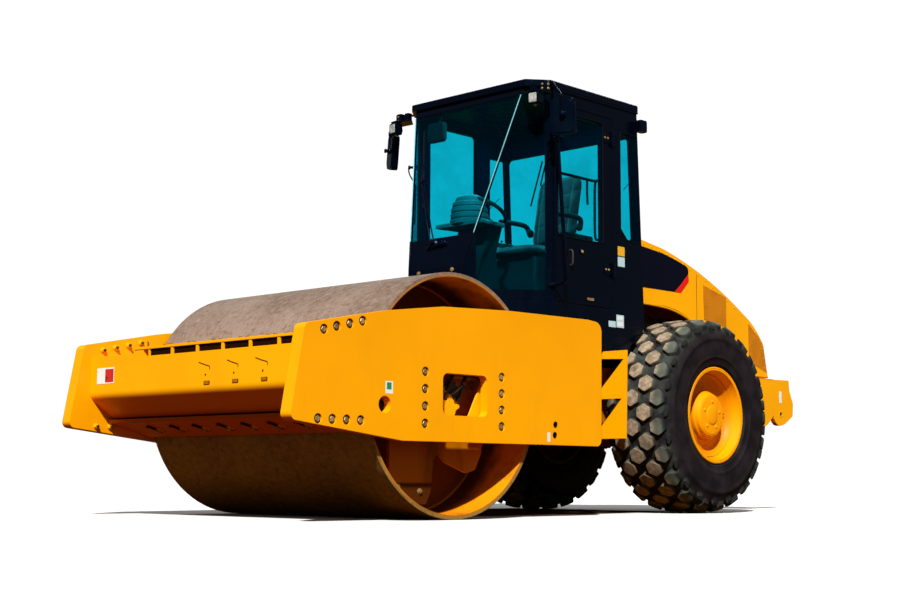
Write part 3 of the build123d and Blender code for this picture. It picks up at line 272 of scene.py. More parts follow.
def drum_steel(name, inside):
    """Rolled steel shell: soil film, pale grit and fine scores running round the drum."""
    s = Shader(name)
    dy, dz = s.calc("SUBTRACT", s.y, -1.66), s.calc("SUBTRACT", s.z, 0.767)
    angle = s.calc("ARCTAN2", dz, dy)
    radius = s.calc("SQRT", s.calc("ADD", s.calc("MULTIPLY", dy, dy), s.calc("MULTIPLY", dz, dz)))
    wrapped = s.join(s.x, s.calc("MULTIPLY", s.calc("SINE", angle), 0.767), s.calc("MULTIPLY", s.calc("COSINE", angle), 0.767))
    broad = s.noise(1.3, 5, 0.55, wrapped, 0.3)
    patch = s.noise(24.0, 7, 0.70, wrapped)
    grit = s.noise(150.0, 4, 0.65, wrapped)
    score = s.noise(1.0, 4, 0.7, s.join(s.calc("MULTIPLY", s.x, 150.0), s.calc("MULTIPLY", angle, 1.2), 0.0))
    film = s.mix(s.steps(broad, 0.36, 0.66), (0.215, 0.143, 0.106), (0.310, 0.222, 0.176))
    film = s.mix(s.calc("MULTIPLY", s.steps(patch, 0.48, 0.66), 0.60), film, (0.350, 0.260, 0.216))
    film = s.mix(s.calc("MULTIPLY", s.steps(patch, 0.48, 0.34), 0.55), film, (0.085, 0.050, 0.030))
    film = s.mix(s.calc("MULTIPLY", s.steps(grit, 0.57, 0.68), 0.60), film, (0.46, 0.37, 0.31))
    film = s.mix(s.calc("MULTIPLY", s.steps(grit, 0.43, 0.34), 0.60), film, (0.060, 0.036, 0.020))
    film = s.mix(s.calc("MULTIPLY", s.steps(score, 0.60, 0.74), 0.18), film, (0.42, 0.34, 0.28))
    if inside:
        # the bore and the rim faces: yellow paint, rubbed to bare brown metal near the rim
        side = s.calc("ABSOLUTE", s.x)
        within = s.steps(s.calc("ADD", radius, s.calc("MULTIPLY", s.noise(40, 4), 0.010)), 0.7535, 0.7600, 1.0, 0.0)
        smear = s.mix(s.steps(s.noise(3.2, 6, 0.65), 0.46, 0.70), (0.90, 0.33, 0.0), (0.34, 0.12, 0.006))
        # painted shade with soil: the bore darkens to deep brown away from the rim
        smear = s.mix(s.steps(s.calc("ADD", side, s.calc("MULTIPLY", s.noise(9, 5), 0.10)), 0.96, 0.80), smear, (0.115, 0.034, 0.001))
        face = s.calc("MULTIPLY", s.calc("GREATER_THAN", side, 1.0665), 0.62)
        smear = s.mix(face, smear, (0.20, 0.115, 0.055))
        film = s.mix(within, film, smear)
    # painted shade: the shell's lower half is tinted olive-brown
    film = s.mix(s.steps(dz, 0.05, -0.42, 0.0, 0.85), film, s.mix(1.0, film, (1.18, 0.96, 0.22), "MULTIPLY"))
    edge, rounded = s.edge(0.006)
    height = s.calc("ADD", s.calc("MULTIPLY", grit, 0.6), s.calc("MULTIPLY", patch, 0.8))
    r = s.steps(patch, 0.35, 0.65, 0.62, 0.46)
    return s.finish(film, r, s.bump(height, 0.0014, 0.35, rounded), metal=0.10, specular=0.25)


DRUM = drum_steel("drum steel", True)


def glass(name, tint, clear):
    """Tinted pane: a Fresnel coat over a tinted see-through layer, so that light gets into the cab."""
    s = Shader(name)
    t = s.tree
    see = t.nodes.new("ShaderNodeBsdfTransparent")
    smudge = s.steps(s.noise(3.5, 5, 0.6), 0.4, 0.75)
    s.put(see.inputs[0], s.mix(s.calc("MULTIPLY", smudge, 0.35), tint, tuple(c * 0.82 for c in tint)))
    s.finish(tuple(c * 0.45 for c in clear), s.steps(smudge, 0.0, 1.0, 0.03, 0.10), specular=0.6)
    # a weight from the viewing angle that is the same on a pane's front and back
    weight = t.nodes.new("ShaderNodeLayerWeight")
    share = s.calc("ADD", s.calc("MULTIPLY", s.calc("POWER", weight.outputs["Facing"], 4.0), 0.7), 0.035, True)
    blend = t.nodes.new("ShaderNodeMixShader")
    s.put(blend.inputs[0], share)
    t.links.new(see.outputs[0], blend.inputs[1])
    t.links.new(s.bsdf.outputs[0], blend.inputs[2])
    t.links.new(blend.outputs[0], s.output.inputs["Surface"])
    return s.material


GLASS = glass("tinted cab glass", (0.22, 0.825, 0.890), (0.0, 0.09, 0.16))


def plastic(name, colour, rough=0.55, grain=900.0, specular=0.4):
    s = Shader(name)
    base = s.mix(s.steps(s.noise(5, 4), 0.35, 0.7), tuple(c * 0.8 for c in colour), tuple(c * 1.15 for c in colour))
    edge, rounded = s.edge(0.003)
    return s.finish(base, s.steps(s.noise(14, 3), 0.3, 0.7, rough - 0.06, rough + 0.08),
                    s.bump(s.cells(grain), 0.0006, 0.3, rounded), specular=specular)


PLASTIC = plastic("grained dark plastic", (0.022, 0.022, 0.026))
PLASTIC_GREY = plastic("grey console plastic", (0.15, 0.19, 0.20))
RUBBER_HOSE = plastic("hose rubber", (0.012, 0.012, 0.012), 0.5, 500.0)
SEAL = plastic("window rubber", (0.0022, 0.0024, 0.0040), 0.7, 700.0, 0.10)


def tyre_rubber(name):
    """Dark rubber whose grooves hold a green-grey film and whose lug tops carry tan dust."""
    s = Shader(name)
    dy, dz = s.calc("SUBTRACT", s.y, 1.275), s.calc("SUBTRACT", s.z, 0.742)
    radius = s.calc("SQRT", s.calc("ADD", s.calc("MULTIPLY", dy, dy), s.calc("MULTIPLY", dz, dz)))
    base = s.mix(s.steps(s.noise(6, 5), 0.35, 0.7), (0.006, 0.004, 0.006), (0.018, 0.013, 0.016))
    film = s.steps(s.noise(9, 6, 0.65), 0.35, 0.7)
    base = s.mix(s.calc("MULTIPLY", s.steps(radius, 0.60, 0.69), s.calc("MULTIPLY", film, 0.75)), base, (0.052, 0.072, 0.058))
    attribute = s.tree.nodes.new("ShaderNodeAttribute")
    attribute.attribute_name = "top"
    top = attribute.outputs["Fac"]
    dust = s.mix(s.steps(s.noise(34, 5, 0.65), 0.35, 0.68), (0.225, 0.170, 0.108), (0.430, 0.335, 0.230))
    # the outer rows carry less dust than the three in the middle
    across = s.calc("ABSOLUTE", s.calc("SUBTRACT", s.calc("ABSOLUTE", s.x), 0.775))
    dust = s.mix(s.steps(across, 0.155, 0.215), dust, (0.092, 0.100, 0.078))
    dust = s.mix(s.steps(across, 0.238, 0.258), dust, (0.016, 0.018, 0.017))
    base = s.mix(s.calc("MULTIPLY", top, s.steps(s.noise(11, 5, 0.6), 0.28, 0.55, 0.55, 1.0)), base, dust)
    edge, rounded = s.edge(0.006)
    r = s.steps(s.noise(9, 4), 0.3, 0.7, 0.62, 0.78)
    return s.finish(base, r, s.bump(s.noise(160, 4, 0.65), 0.0016, 0.5, rounded), specular=0.14)


TYRE = tyre_rubber("worn tyre rubber")


def cloth(name, colour):
    """Woven seat cloth: warp and weft in the piece's own coordinates, soft colour changes and a light sheen."""
    s = Shader(name)
    warp = s.calc("SINE", s.calc("MULTIPLY", s.calc("ADD", s.x, s.calc("MULTIPLY", s.z, 0.4)), 3400.0))
    weft = s.calc("SINE", s.calc("MULTIPLY", s.calc("ADD", s.y, s.calc("MULTIPLY", s.z, 0.9)), 3400.0))
    weave = s.calc("MULTIPLY", warp, weft)
    base = s.mix(s.steps(weave, -0.6, 0.8), tuple(c * 0.6 for c in colour), tuple(c * 1.35 for c in colour))
    base = s.mix(s.calc("MULTIPLY", s.steps(s.noise(6, 5), 0.45, 0.75), 0.35), base, (0.12, 0.10, 0.085))
    return s.finish(base, s.steps(s.noise(8, 3), 0.3, 0.7, 0.78, 0.92), s.bump(weave, 0.0004, 0.5), specular=0.25,
                    Sheen_Weight=0.25, Sheen_Roughness=0.5)


CLOTH = cloth("woven seat cloth", (0.012, 0.013, 0.017))
CLOTH_EDGE = cloth("seat bolster cloth", (0.008, 0.008, 0.011))


def lens_glass(name):
    s = Shader(name)
    rib = s.calc("SINE", s.calc("MULTIPLY", s.z, 900.0))
    base = s.mix(s.steps(s.noise(30, 3), 0.4, 0.7), (0.30, 0.31, 0.30), (0.58, 0.60, 0.58))
    return s.finish(base, 0.12, s.bump(rib, 0.0006, 0.4), specular=0.7, Coat_Weight=0.6)


LENS = lens_glass("lamp lens")
MIRROR_GLASS = Shader("mirror glass").finish((0.75, 0.80, 0.82), 0.04, metal=1.0)


def grille(name, angle=0.0):
    """Perforated sheet: staggered dark holes in yellow paint, on faces that look sideways or backwards."""
    s = Shader(name)
    pitch = 0.0110
    # two interleaved square lattices make the stagger
    def lattice(off):
        u = s.calc("SUBTRACT", s.calc("FRACT", s.calc("ADD", s.calc("DIVIDE", s.y, pitch), off)), 0.5)
        v = s.calc("SUBTRACT", s.calc("FRACT", s.calc("ADD", s.calc("DIVIDE", s.z, pitch), off)), 0.5)
        return s.calc("SQRT", s.calc("ADD", s.calc("MULTIPLY", u, u), s.calc("MULTIPLY", v, v)))
    near = s.calc("MINIMUM", lattice(0.0), lattice(0.5))
    hole = s.steps(near, 0.19, 0.27, 1.0, 0.0)
    base = s.mix(s.steps(s.noise(5, 4), 0.4, 0.7), (0.92, 0.31, 0.0), (0.72, 0.23, 0.0))
    base = s.mix(hole, base, (0.20, 0.060, 0.0))
    return s.finish(base, 0.5, s.bump(s.calc("SUBTRACT", 1.0, hole), 0.002, 0.7), specular=0.3)


GRILLE = grille("perforated hood sheet")

FINISH = {"body_yellow": YELLOW, "cab_black": BLACK, "cab_glass": GLASS, "tyre_rubber": TYRE, "rim_yellow": RIM,
          "drum_steel": DRUM, "seat_fabric": CLOTH, "interior_plastic": PLASTIC, "engine_iron": CAST,
          "rod_chrome": CHROME, "cylinder_black": BLACK, "scraper_steel": SCRAPER}
slots = {p["node"]: p["material_slot"] for p in frame["record"]["subparts"]}
SPECIAL = {"side_plate_left": PLATE_YELLOW, "side_plate_right": PLATE_YELLOW, "drum_heads": HEAD, "drum_mount_left": ARM, "drum_mount_right": ARM, "front_bumper": BUMPER,
           "rear_chassis": YELLOW_SHADED, "rear_axle": YELLOW_SHADED, "rear_crossmember": YELLOW}
for name, obj in NODES.items():
    material = SPECIAL.get(name, FINISH[slots[name]])
    if not obj.material_slots:
        obj.data.materials.append(material)
    for held in obj.material_slots:
        held.material = material


# ---------------------------------------------------------------- mesh building
def frame_at(origin, normal, up=(0, 0, 1)):
    """Matrix whose z is the normal, y is close to up, at the origin."""
    z = Vector(normal).normalized()
    y = Vector(up)
    y = (y - z * y.dot(z))
    if y.length < 1e-6:
        y = Vector((0, 1, 0)) - z * z.y
    y.normalize()
    x = y.cross(z)
    return Matrix(((x.x, y.x, z.x, origin[0]), (x.y, y.y, z.y, origin[1]), (x.z, y.z, z.z, origin[2]), (0, 0, 0, 1)))


class Piece:
    """One mesh with several materials, built part by part in the row frame."""

    def __init__(self, name, body, slot, *materials, sharp=35.0):
        self.name, self.body, self.slot, self.materials, self.sharp = name, body, slot, materials, sharp
        self.bm = bmesh.new()

    def faces(self, points, rings, material=0):
        verts = [self.bm.verts.new(p) for p in points]
        made = []
        for ring in rings:
            try:
                f = self.bm.faces.new([verts[i] for i in ring])
                f.material_index = material
                made.append(f)
            except ValueError:
                pass
        return made

    def prism(self, at, outline, depth, material=0, chamfer=0.0):
        """Outline in the matrix's xy, from z 0 to depth, with its far edge chamfered."""
        n = len(outline)
        cx, cy = sum(p[0] for p in outline) / n, sum(p[1] for p in outline) / n
        rows = [[(x, y, 0.0) for x, y in outline]]
        if chamfer:
            size = max(max(abs(x - cx), abs(y - cy)) for x, y in outline)
            k = 1 - chamfer / size
            rows.append([(x, y, depth - math.copysign(chamfer, depth)) for x, y in outline])
            rows.append([(cx + (x - cx) * k, cy + (y - cy) * k, depth) for x, y in outline])
        else:
            rows.append([(x, y, depth) for x, y in outline])
        points = [at @ Vector(p) for row in rows for p in row]
        rings = [[r * n + i, r * n + (i + 1) % n, (r + 1) * n + (i + 1) % n, (r + 1) * n + i]
                 for r in range(len(rows) - 1) for i in range(n)]
        rings += [list(range(n))[::-1], [(len(rows) - 1) * n + i for i in range(n)]]
        self.faces(points, rings, material)

    def block(self, low, high, material=0, chamfer=0.0):
        x0, y0, z0 = low
        x1, y1, z1 = high
        self.prism(Matrix.Translation((0, 0, z0)), [(x0, y0), (x1, y0), (x1, y1), (x0, y1)], z1 - z0, material, chamfer)

    def lathe(self, at, profile, sides=24, material=0, sweep=math.tau, start=0.0):
        """Profile rows (radius, height) turned about the matrix's z."""
        whole = abs(sweep - math.tau) < 1e-6
        count = sides if whole else sides + 1
        points, index = [], []
        for r, h in profile:
            if r < 1e-7:
                index.append([len(points)] * count)
                points.append(at @ Vector((0, 0, h)))
                continue
            index.append(list(range(len(points), len(points) + count)))
            for i in range(count):
                a = start + sweep * i / sides
                points.append(at @ Vector((r * math.cos(a), r * math.sin(a), h)))
        rings = []
        for lower, upper in zip(index, index[1:]):
            for i in range(sides):
                j = (i + 1) % count
                ring = [lower[i], lower[j], upper[j], upper[i]]
                ring = [v for k, v in enumerate(ring) if v not in ring[:k]]
                if len(ring) > 2:
                    rings.append(ring)
        self.faces(points, rings, material)

    def tube(self, line, radius, sides=10, material=0, ends=True):
        """Round tube along a list of points."""
        line = [Vector(p) for p in line]
        rows, side = [], None
        for i, p in enumerate(line):
            ahead = ((line[min(i + 1, len(line) - 1)] - p).normalized() + (p - line[max(i - 1, 0)]).normalized()).normalized()
            if side is None:
                side = ahead.cross(Vector((0, 0, 1)) if abs(ahead.z) < 0.9 else Vector((1, 0, 0))).normalized()
            side = (side - ahead * side.dot(ahead)).normalized()
            other = ahead.cross(side)
            rows.append([p + (side * math.cos(math.tau * k / sides) + other * math.sin(math.tau * k / sides)) * radius
                         for k in range(sides)])
        points = [p for row in rows for p in row]
        rings = [[r * sides + k, r * sides + (k + 1) % sides, (r + 1) * sides + (k + 1) % sides, (r + 1) * sides + k]
                 for r in range(len(rows) - 1) for k in range(sides)]
        if ends:
            rings += [list(range(sides))[::-1], [(len(rows) - 1) * sides + k for k in range(sides)]]
        self.faces(points, rings, material)

    def bolt(self, at, size, height, material=0, washer=True, turn=0.0):
        """Hexagon head, size across its corners, on a washer, seated on the matrix's xy plane."""
        r = size / 2
        base = 0.0
        if washer:
            base = height * 0.22
            self.lathe(at, [(r * 1.25, 0), (r * 1.25, base * 0.8), (r * 1.18, base), (0, base)], 20, material)
        self.lathe(at, [(r, base), (r, height * 0.82), (r * 0.88, height), (0, height)], 6, material, start=turn)

    def done(self, smooth=True):
        bm = self.bm
        bmesh.ops.recalc_face_normals(bm, faces=bm.faces)
        mesh = bpy.data.meshes.new(self.name)
        bm.to_mesh(mesh)
        bm.free()
        for m in self.materials:
            mesh.materials.append(m)
        mesh.polygons.foreach_set("use_smooth", [smooth] * len(mesh.polygons))
        if smooth:
            mesh.set_sharp_from_angle(angle=math.radians(self.sharp))
        obj = bpy.data.objects.new(self.name, mesh)
        scene.collection.objects.link(obj)
        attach(obj, self.body)
        return obj


def smooth_line(points, per=8):
    """Catmull-Rom line through the points."""
    points = [Vector(p) for p in points]
    out = []
    for i in range(len(points) - 1):
        a, b, c, d = points[max(i - 1, 0)], points[i], points[i + 1], points[min(i + 2, len(points) - 1)]
        for k in range(per):
            t = k / per
            out.append(0.5 * ((2 * b) + (c - a) * t + (2 * a - 5 * b + 4 * c - d) * t * t + (3 * b - a - 3 * c + d) * t ** 3))
    out.append(points[-1])
    return out


def round_rect(w, h, r, steps=4):
    out = []
    for cx, cy, a0 in ((w / 2 - r, h / 2 - r, 0), (-w / 2 + r, h / 2 - r, 90), (-w / 2 + r, -h / 2 + r, 180), (w / 2 - r, -h / 2 + r, 270)):
        for k in range(steps + 1):
            a = math.radians(a0 + 90 * k / steps)
            out.append((cx + r * math.cos(a), cy + r * math.sin(a)))
    return out


LEFT, RIGHT, FRONT, BACK, UP, DOWN = (1, 0, 0), (-1, 0, 0), (0, -1, 0), (0, 1, 0), (0, 0, 1), (0, 0, -1)

# ---------------------------------------------------------------- front frame: bolts, bumper fittings
DRUM_Y, DRUM_Z = -1.660, 0.767
PLATE_BOLTS = ([(DRUM_Y + s * 0.345, z) for s in (-1, 1) for z in (0.891, 0.787, 0.683, 0.579)]
               + [(-2.822, 1.087), (-2.725, 1.111), (-2.625, 1.133), (-2.525, 1.156)]
               + [(-2.858, 0.582), (-2.750, 0.582), (-2.641, 0.582), (-2.532, 0.582)])
NOSE_BOLTS = PLATE_BOLTS[8:]
for side, word in ((1, "left"), (-1, "right")):
    heads = Piece(f"plate_bolts_{word}", "front_frame", "scraper_steel", BOLT, DARK_BOLT, YELLOW)
    for y, z in PLATE_BOLTS:
        at = frame_at((side * 1.1365, y, z), (side, 0, 0))
        # painted shade: a dark disc on the seat's floor stands for the shade in the counterbore
        heads.lathe(at, [(0.0285, -0.0003), (0.0285, 0.0004), (0, 0.0004)], 24, 1)
        heads.bolt(at, 0.037, 0.0120, 0, washer=False, turn=rng.random())
        heads.lathe(at, [(0.0235, 0.0004), (0.0235, 0.0030), (0.0, 0.0030)], 20, 1)
    for y, z in NOSE_BOLTS:
        # the bolts' nuts on the plate's inner face
        heads.bolt(frame_at((side * 1.0598, y, z), (-side, 0, 0)), 0.034, 0.018, 2, turn=rng.random())
        heads.lathe(frame_at((side * 1.0598, y, z), (-side, 0, 0)), [(0.0095, 0.016), (0.0095, 0.030), (0.007, 0.033), (0, 0.033)], 14, 1)
    heads.done()

bumper = Piece("bumper_fittings", "front_frame", "body_yellow", YELLOW, DARK_BOLT, BOLT, BROWN, SLOT_DARK)
FACE_Y = -2.910
# lip along the scraper table and its screws
bumper.block((-0.566, FACE_Y - 0.003, 1.0556), (1.058, FACE_Y + 0.010, 1.0725), 0, 0.002)
# a blade behind the slots, coloured near black as painted shade in the openings
bumper.block((-0.402, -2.9005, 1.0125), (1.050, -2.8945, 1.0545), 4, 0.001)
gaps = [(-0.4035, -0.180), (-0.156, 0.076), (0.100, 0.326), (0.350, 0.586), (0.610, 0.846), (0.870, 1.034)]
for a, b in gaps:
    for share in (0.36, 0.62):
        x = a + (b - a) * share
        bumper.bolt(frame_at((x, -2.850, 1.073), UP), 0.028, 0.012, 3, turn=rng.random())
        bumper.block((x - 0.016, -2.83, 1.0725), (x + 0.016, -2.70, 1.079), 0, 0.002)
        bumper.bolt(frame_at((x, -2.74, 1.079), UP), 0.024, 0.010, 2, turn=rng.random())
# three rows of fixings on the face: a thin bar with a bent end, a plug and a slotted cover
for x0, x1 in ((0.130, 0.205), (0.407, 0.477), (0.672, 0.748)):
    line = [(x0 - 0.018, FACE_Y - 0.0015, 0.946), (x0 + 0.50 * (x1 - x0), FACE_Y - 0.0015, 0.930), (x1 + 0.004, FACE_Y - 0.0015, 0.920),
            (x1 + 0.014, FACE_Y - 0.0015, 0.915), (x1 + 0.016, FACE_Y - 0.0015, 0.899)]
    bumper.tube(smooth_line(line, 4), 0.0023, 8, 3)
    mid = (x0 + x1) / 2 + 0.012
    bumper.lathe(frame_at((mid, FACE_Y, 0.867), FRONT), [(0.0065, 0), (0.0065, 0.002), (0.004, 0.003), (0, 0.003)], 14, 3)
    bumper.prism(frame_at((mid + 0.014, FACE_Y, 0.818), FRONT), round_rect(0.058, 0.024, 0.005), 0.003, 3, 0.001)
    for k in (-0.0065, 0.0, 0.0065):
        bumper.block((mid - 0.009, FACE_Y - 0.0045, 0.8168 + k), (mid + 0.037, FACE_Y - 0.002, 0.8190 + k), 0)
# scraper adjusters on the sloping bottom plate
slope = Vector((0, 0.31, -0.084)).normalized()
below = Vector((0, -slope.z, slope.y)).normalized() * -1
if below.z > 0:
    below = -below
for x in (-0.71, -0.46, -0.22, 0.03, 0.27, 0.52, 0.76):
    base = Vector((x, -2.62, 0.604 - (2.76 - 2.62) * 0.271))
    at = frame_at(base + below * 0.0, below, slope)
    bumper.prism(at, round_rect(0.030, 0.130, 0.010), 0.005, 3, 0.002)
    bumper.prism(frame_at(base + slope * 0.02, below, slope), round_rect(0.050, 0.060, 0.008), 0.010, 0, 0.003)
    bumper.bolt(frame_at(base + slope * 0.02 + below * 0.010, below, slope), 0.026, 0.013, 2, turn=rng.random())
    bumper.tube([base + slope * 0.05 + below * 0.010, base - slope * 0.075 + below * 0.010], 0.0055, 10, 1)
    bumper.bolt(frame_at(base - slope * 0.075 + below * 0.010, -slope, below), 0.018, 0.010, 1)
bumper.done()

# painted shade: dark linings in the two small holes of each side plate
for side, word in ((1, "left"), (-1, "right")):
    hole_shade = Piece(f"plate_hole_painted_shade_{word}", "front_frame", "body_yellow", SLOT_DARK)
    for y, z in ((-0.784, 0.606), (-0.790, 0.537)):
        hole_shade.lathe(frame_at((side * 1.090, y, z), (side, 0, 0)), [(0.0218, 0.002), (0.0200, 0.003), (0.0200, 0.057), (0.0218, 0.058)], 24)
    hole_shade.done()

label = Piece("bumper_label", "front_frame", "body_yellow", WHITE, LABEL_RED)
at = frame_at((-0.886, FACE_Y, 0.9055), FRONT)
label.prism(at, round_rect(0.195, 0.105, 0.004), 0.0014)
label.prism(frame_at((-0.841, FACE_Y - 0.0014, 0.9055), FRONT), round_rect(0.094, 0.086, 0.002), 0.0005, 1)
label.done()

# drum suspension: rubber mounts, drive hoses and bolts on the hanging arms
for side, word in ((1, "left"), (-1, "right")):
    arm = Piece(f"drum_drive_{word}", "front_frame", "engine_iron", CAST, BOLT, RUBBER_HOSE, YELLOW_SHADED, YELLOW, FITTING)
    out = (side, 0, 0)
    for y, z in ((-2.043, 0.200), (-1.855, 0.174)):
        arm.bolt(frame_at((side * 0.955, y, z), out), 0.030, 0.014, 1, turn=rng.random())
    for y in (-2.005, -1.315):
        # rubber blocks between the pads and the arms' plate
        for z in (0.640, 0.830):
            arm.lathe(frame_at((side * 0.955, y + (0.085 if y < -1.66 else -0.085), z), out), [(0.030, 0.0), (0.030, 0.010), (0.022, 0.014), (0, 0.014)], 20, 1)
    # worn clamp and a fitting beside the motor, seen through the square hole
    lump = [(0.078 * (1 + 0.22 * math.sin(5 * a + 0.8) + 0.10 * math.sin(9 * a)) * math.cos(a) * side,
             0.070 * (1 + 0.22 * math.sin(5 * a + 0.8) + 0.10 * math.sin(9 * a)) * math.sin(a)) for a in [math.tau * k / 40 for k in range(40)]]
    arm.prism(frame_at((side * 1.018, -1.690, 0.686), out), lump if side > 0 else lump[::-1], 0.030, 4, 0.008)
    arm.tube(smooth_line([(side * 1.020, -1.66, 0.775), (side * 1.045, -1.640, 0.790), (side * 1.048, -1.600, 0.815), (side * 1.046, -1.575, 0.830)], 5), 0.009, 10, 5)
    arm.bolt(frame_at((side * 1.046, -1.570, 0.834), (0, 0.6, 0.8)), 0.028, 0.018, 5)
    # gusset behind the rear edge of the square hole, in bright yellow: a painted highlight standing in for a patch of
    # sunlight inside the hole
    web = [(-1.415, 0.880), (-1.405, 0.880), (-1.405, 0.615), (-1.560, 0.615)]
    face = Matrix(((0, 0, 1, 1.066 if side > 0 else -1.078), (1, 0, 0, 0), (0, 1, 0, 0), (0, 0, 0, 1)))
    arm.prism(face, web, 0.012, 4, 0.002)
    # motor flange with its bolt ring, cover and ports
    hub = frame_at((side * 0.955, DRUM_Y, DRUM_Z), out)
    arm.lathe(hub, [(0.150, 0.0), (0.150, 0.012), (0.142, 0.018), (0.096, 0.018)], 40, 3)
    for k in range(10):
        a = math.tau * k / 10
        arm.bolt(hub @ Matrix.Translation((0.124 * math.cos(a), 0.124 * math.sin(a), 0.018)), 0.022, 0.012, 1)
    arm.lathe(hub, [(0.0945, 0.0595), (0.080, 0.066), (0.060, 0.068), (0.030, 0.069), (0, 0.069)], 32, 0)
    for dy, dz in ((-0.045, 0.035), (0.05, -0.03)):
        p = Vector((side * 1.015, DRUM_Y + dy, DRUM_Z + dz))
        arm.lathe(frame_at(p, out), [(0.020, -0.004), (0.020, 0.012), (0.015, 0.014), (0.0, 0.014)], 6, 1)
        drop = [(side * 1.003, p.y, p.z), (side * 1.038, p.y + 0.01, p.z + 0.01), (side * 1.045, p.y + 0.04, p.z + 0.08),
                (side * 1.040, p.y + 0.10, p.z + 0.19), (side * 1.040, p.y + 0.24, p.z + 0.27), (side * 1.044, p.y + 0.37, p.z + 0.295),
                (side * 1.058, p.y + 0.43, p.z + 0.300), (side * 1.086, p.y + 0.44, p.z + 0.300)]
        arm.tube(smooth_line(drop, 7), 0.0125, 12, 2)
        # the hose ends in a fitting on the side plate's inner face
        arm.lathe(frame_at((side * 1.0922, p.y + 0.44, p.z + 0.300), (-side, 0, 0)), [(0.026, 0.0), (0.026, 0.010), (0.019, 0.012), (0.019, 0.024), (0.0128, 0.026)], 6, 1)
    arm.done()

# ---------------------------------------------------------------- drum ends: hub cover, bolt rings
for side, word in ((1, "left"), (-1, "right")):
    ends = Piece(f"drum_end_{word}", "drum", "scraper_steel", YELLOW_SHADED, BOLT)
    head = frame_at((side * 0.650, DRUM_Y, DRUM_Z), (side, 0, 0))
    ends.lathe(head, [(0.330, 0.0), (0.330, 0.020), (0.318, 0.026), (0.205, 0.026), (0.205, 0.0)], 56)
    for k in range(16):
        a = math.tau * (k + 0.5) / 16
        ends.bolt(head @ Matrix.Translation((0.270 * math.cos(a), 0.270 * math.sin(a), 0.026)), 0.034, 0.018, 1, turn=rng.random())
    # weld bead where the head meets the shell
    ends.lathe(head, [(0.7389, 0.012), (0.7345, 0.0105), (0.7285, 0.0045), (0.7270, 0.0)], 96)
    ends.done()

# ---------------------------------------------------------------- wheels
AXLE_Y, AXLE_Z, TYRE_X = 1.275, 0.742, 0.775
# outer line of the tread and sidewall: distance from the tyre's middle, radius
TREAD = [(0.0, 0.742), (0.06, 0.7413), (0.12, 0.7392), (0.17, 0.7350), (0.205, 0.7285), (0.230, 0.7190), (0.250, 0.7040),
         (0.264, 0.6840), (0.275, 0.6580), (0.283, 0.6280)]
CARCASS = [(0.0, 0.7130), (0.06, 0.7124), (0.12, 0.7105), (0.17, 0.7060), (0.200, 0.7000), (0.225, 0.6890), (0.245, 0.6730),
           (0.260, 0.6510), (0.270, 0.6280), (0.278, 0.6050)]


def along(line, s):
    """Point and outward normal at arc length s from the middle of a tread line; negative s is the other side."""
    sign, s = (1 if s >= 0 else -1), abs(s)
    for (x0, r0), (x1, r1) in zip(line, line[1:]):
        d = math.hypot(x1 - x0, r1 - r0)
        if s <= d or (x1, r1) == line[-1]:
            t = s / d
            n = ((r0 - r1) / d, (x1 - x0) / d)
            return sign * (x0 + (x1 - x0) * t), r0 + (r1 - r0) * t, sign * n[0], n[1]
        s -= d


LUGS_ROUND = 21


def lug(bm, top_layer, wheel, s0, turn, width, long, base_drop, pointed=True):
    """Raised tread block: outline in (across, around), its top on the tread line, its foot in the carcass."""
    if pointed:
        outline = [(0, long / 2), (width / 2, long / 4.2), (width / 2, -long / 4.2), (0, -long / 2), (-width / 2, -long / 4.2), (-width / 2, long / 4.2)]
    else:
        outline = [(width * 0.5, long * 0.20), (width * 0.5, -long * 0.20), (-width * 0.1, -long * 0.46), (-width * 0.5, -long * 0.30),
                   (-width * 0.5, long * 0.30), (-width * 0.1, long * 0.46)]
    fine = []
    for (a, b), (c, d) in zip(outline, outline[1:] + outline[:1]):
        # clipped corners read as moulded, not cut
        fine += [(a + (c - a) * 0.08, b + (d - b) * 0.08), (a + (c - a) * 0.5, b + (d - b) * 0.5), (a + (c - a) * 0.92, b + (d - b) * 0.92)]
    n = len(fine)
    rows = []
    for scale, line, drop, mark in ((0.915, TREAD, 0.0, 1.0), (0.965, TREAD, 0.0035, 0.25), (1.06, CARCASS, 0.004, 0.0)):
        row = []
        for a, b in fine:
            x, r, nx, nr = along(line, s0 + a * scale)
            r -= drop * nr
            x -= drop * nx
            angle = turn + b * scale / 0.738
            v = bm.verts.new(wheel @ Vector((r * math.cos(angle), r * math.sin(angle), x)))
            v[top_layer] = mark
            row.append(v)
        rows.append(row)
    x, r, nx, nr = along(TREAD, s0)
    middle = bm.verts.new(wheel @ Vector((r * math.cos(turn), r * math.sin(turn), x)))
    middle[top_layer] = 1.0
    for i in range(n):
        j = (i + 1) % n
        bm.faces.new((middle, rows[0][i], rows[0][j]))
        for upper, lower in zip(rows, rows[1:]):
            bm.faces.new((upper[i], lower[i], lower[j], upper[j]))


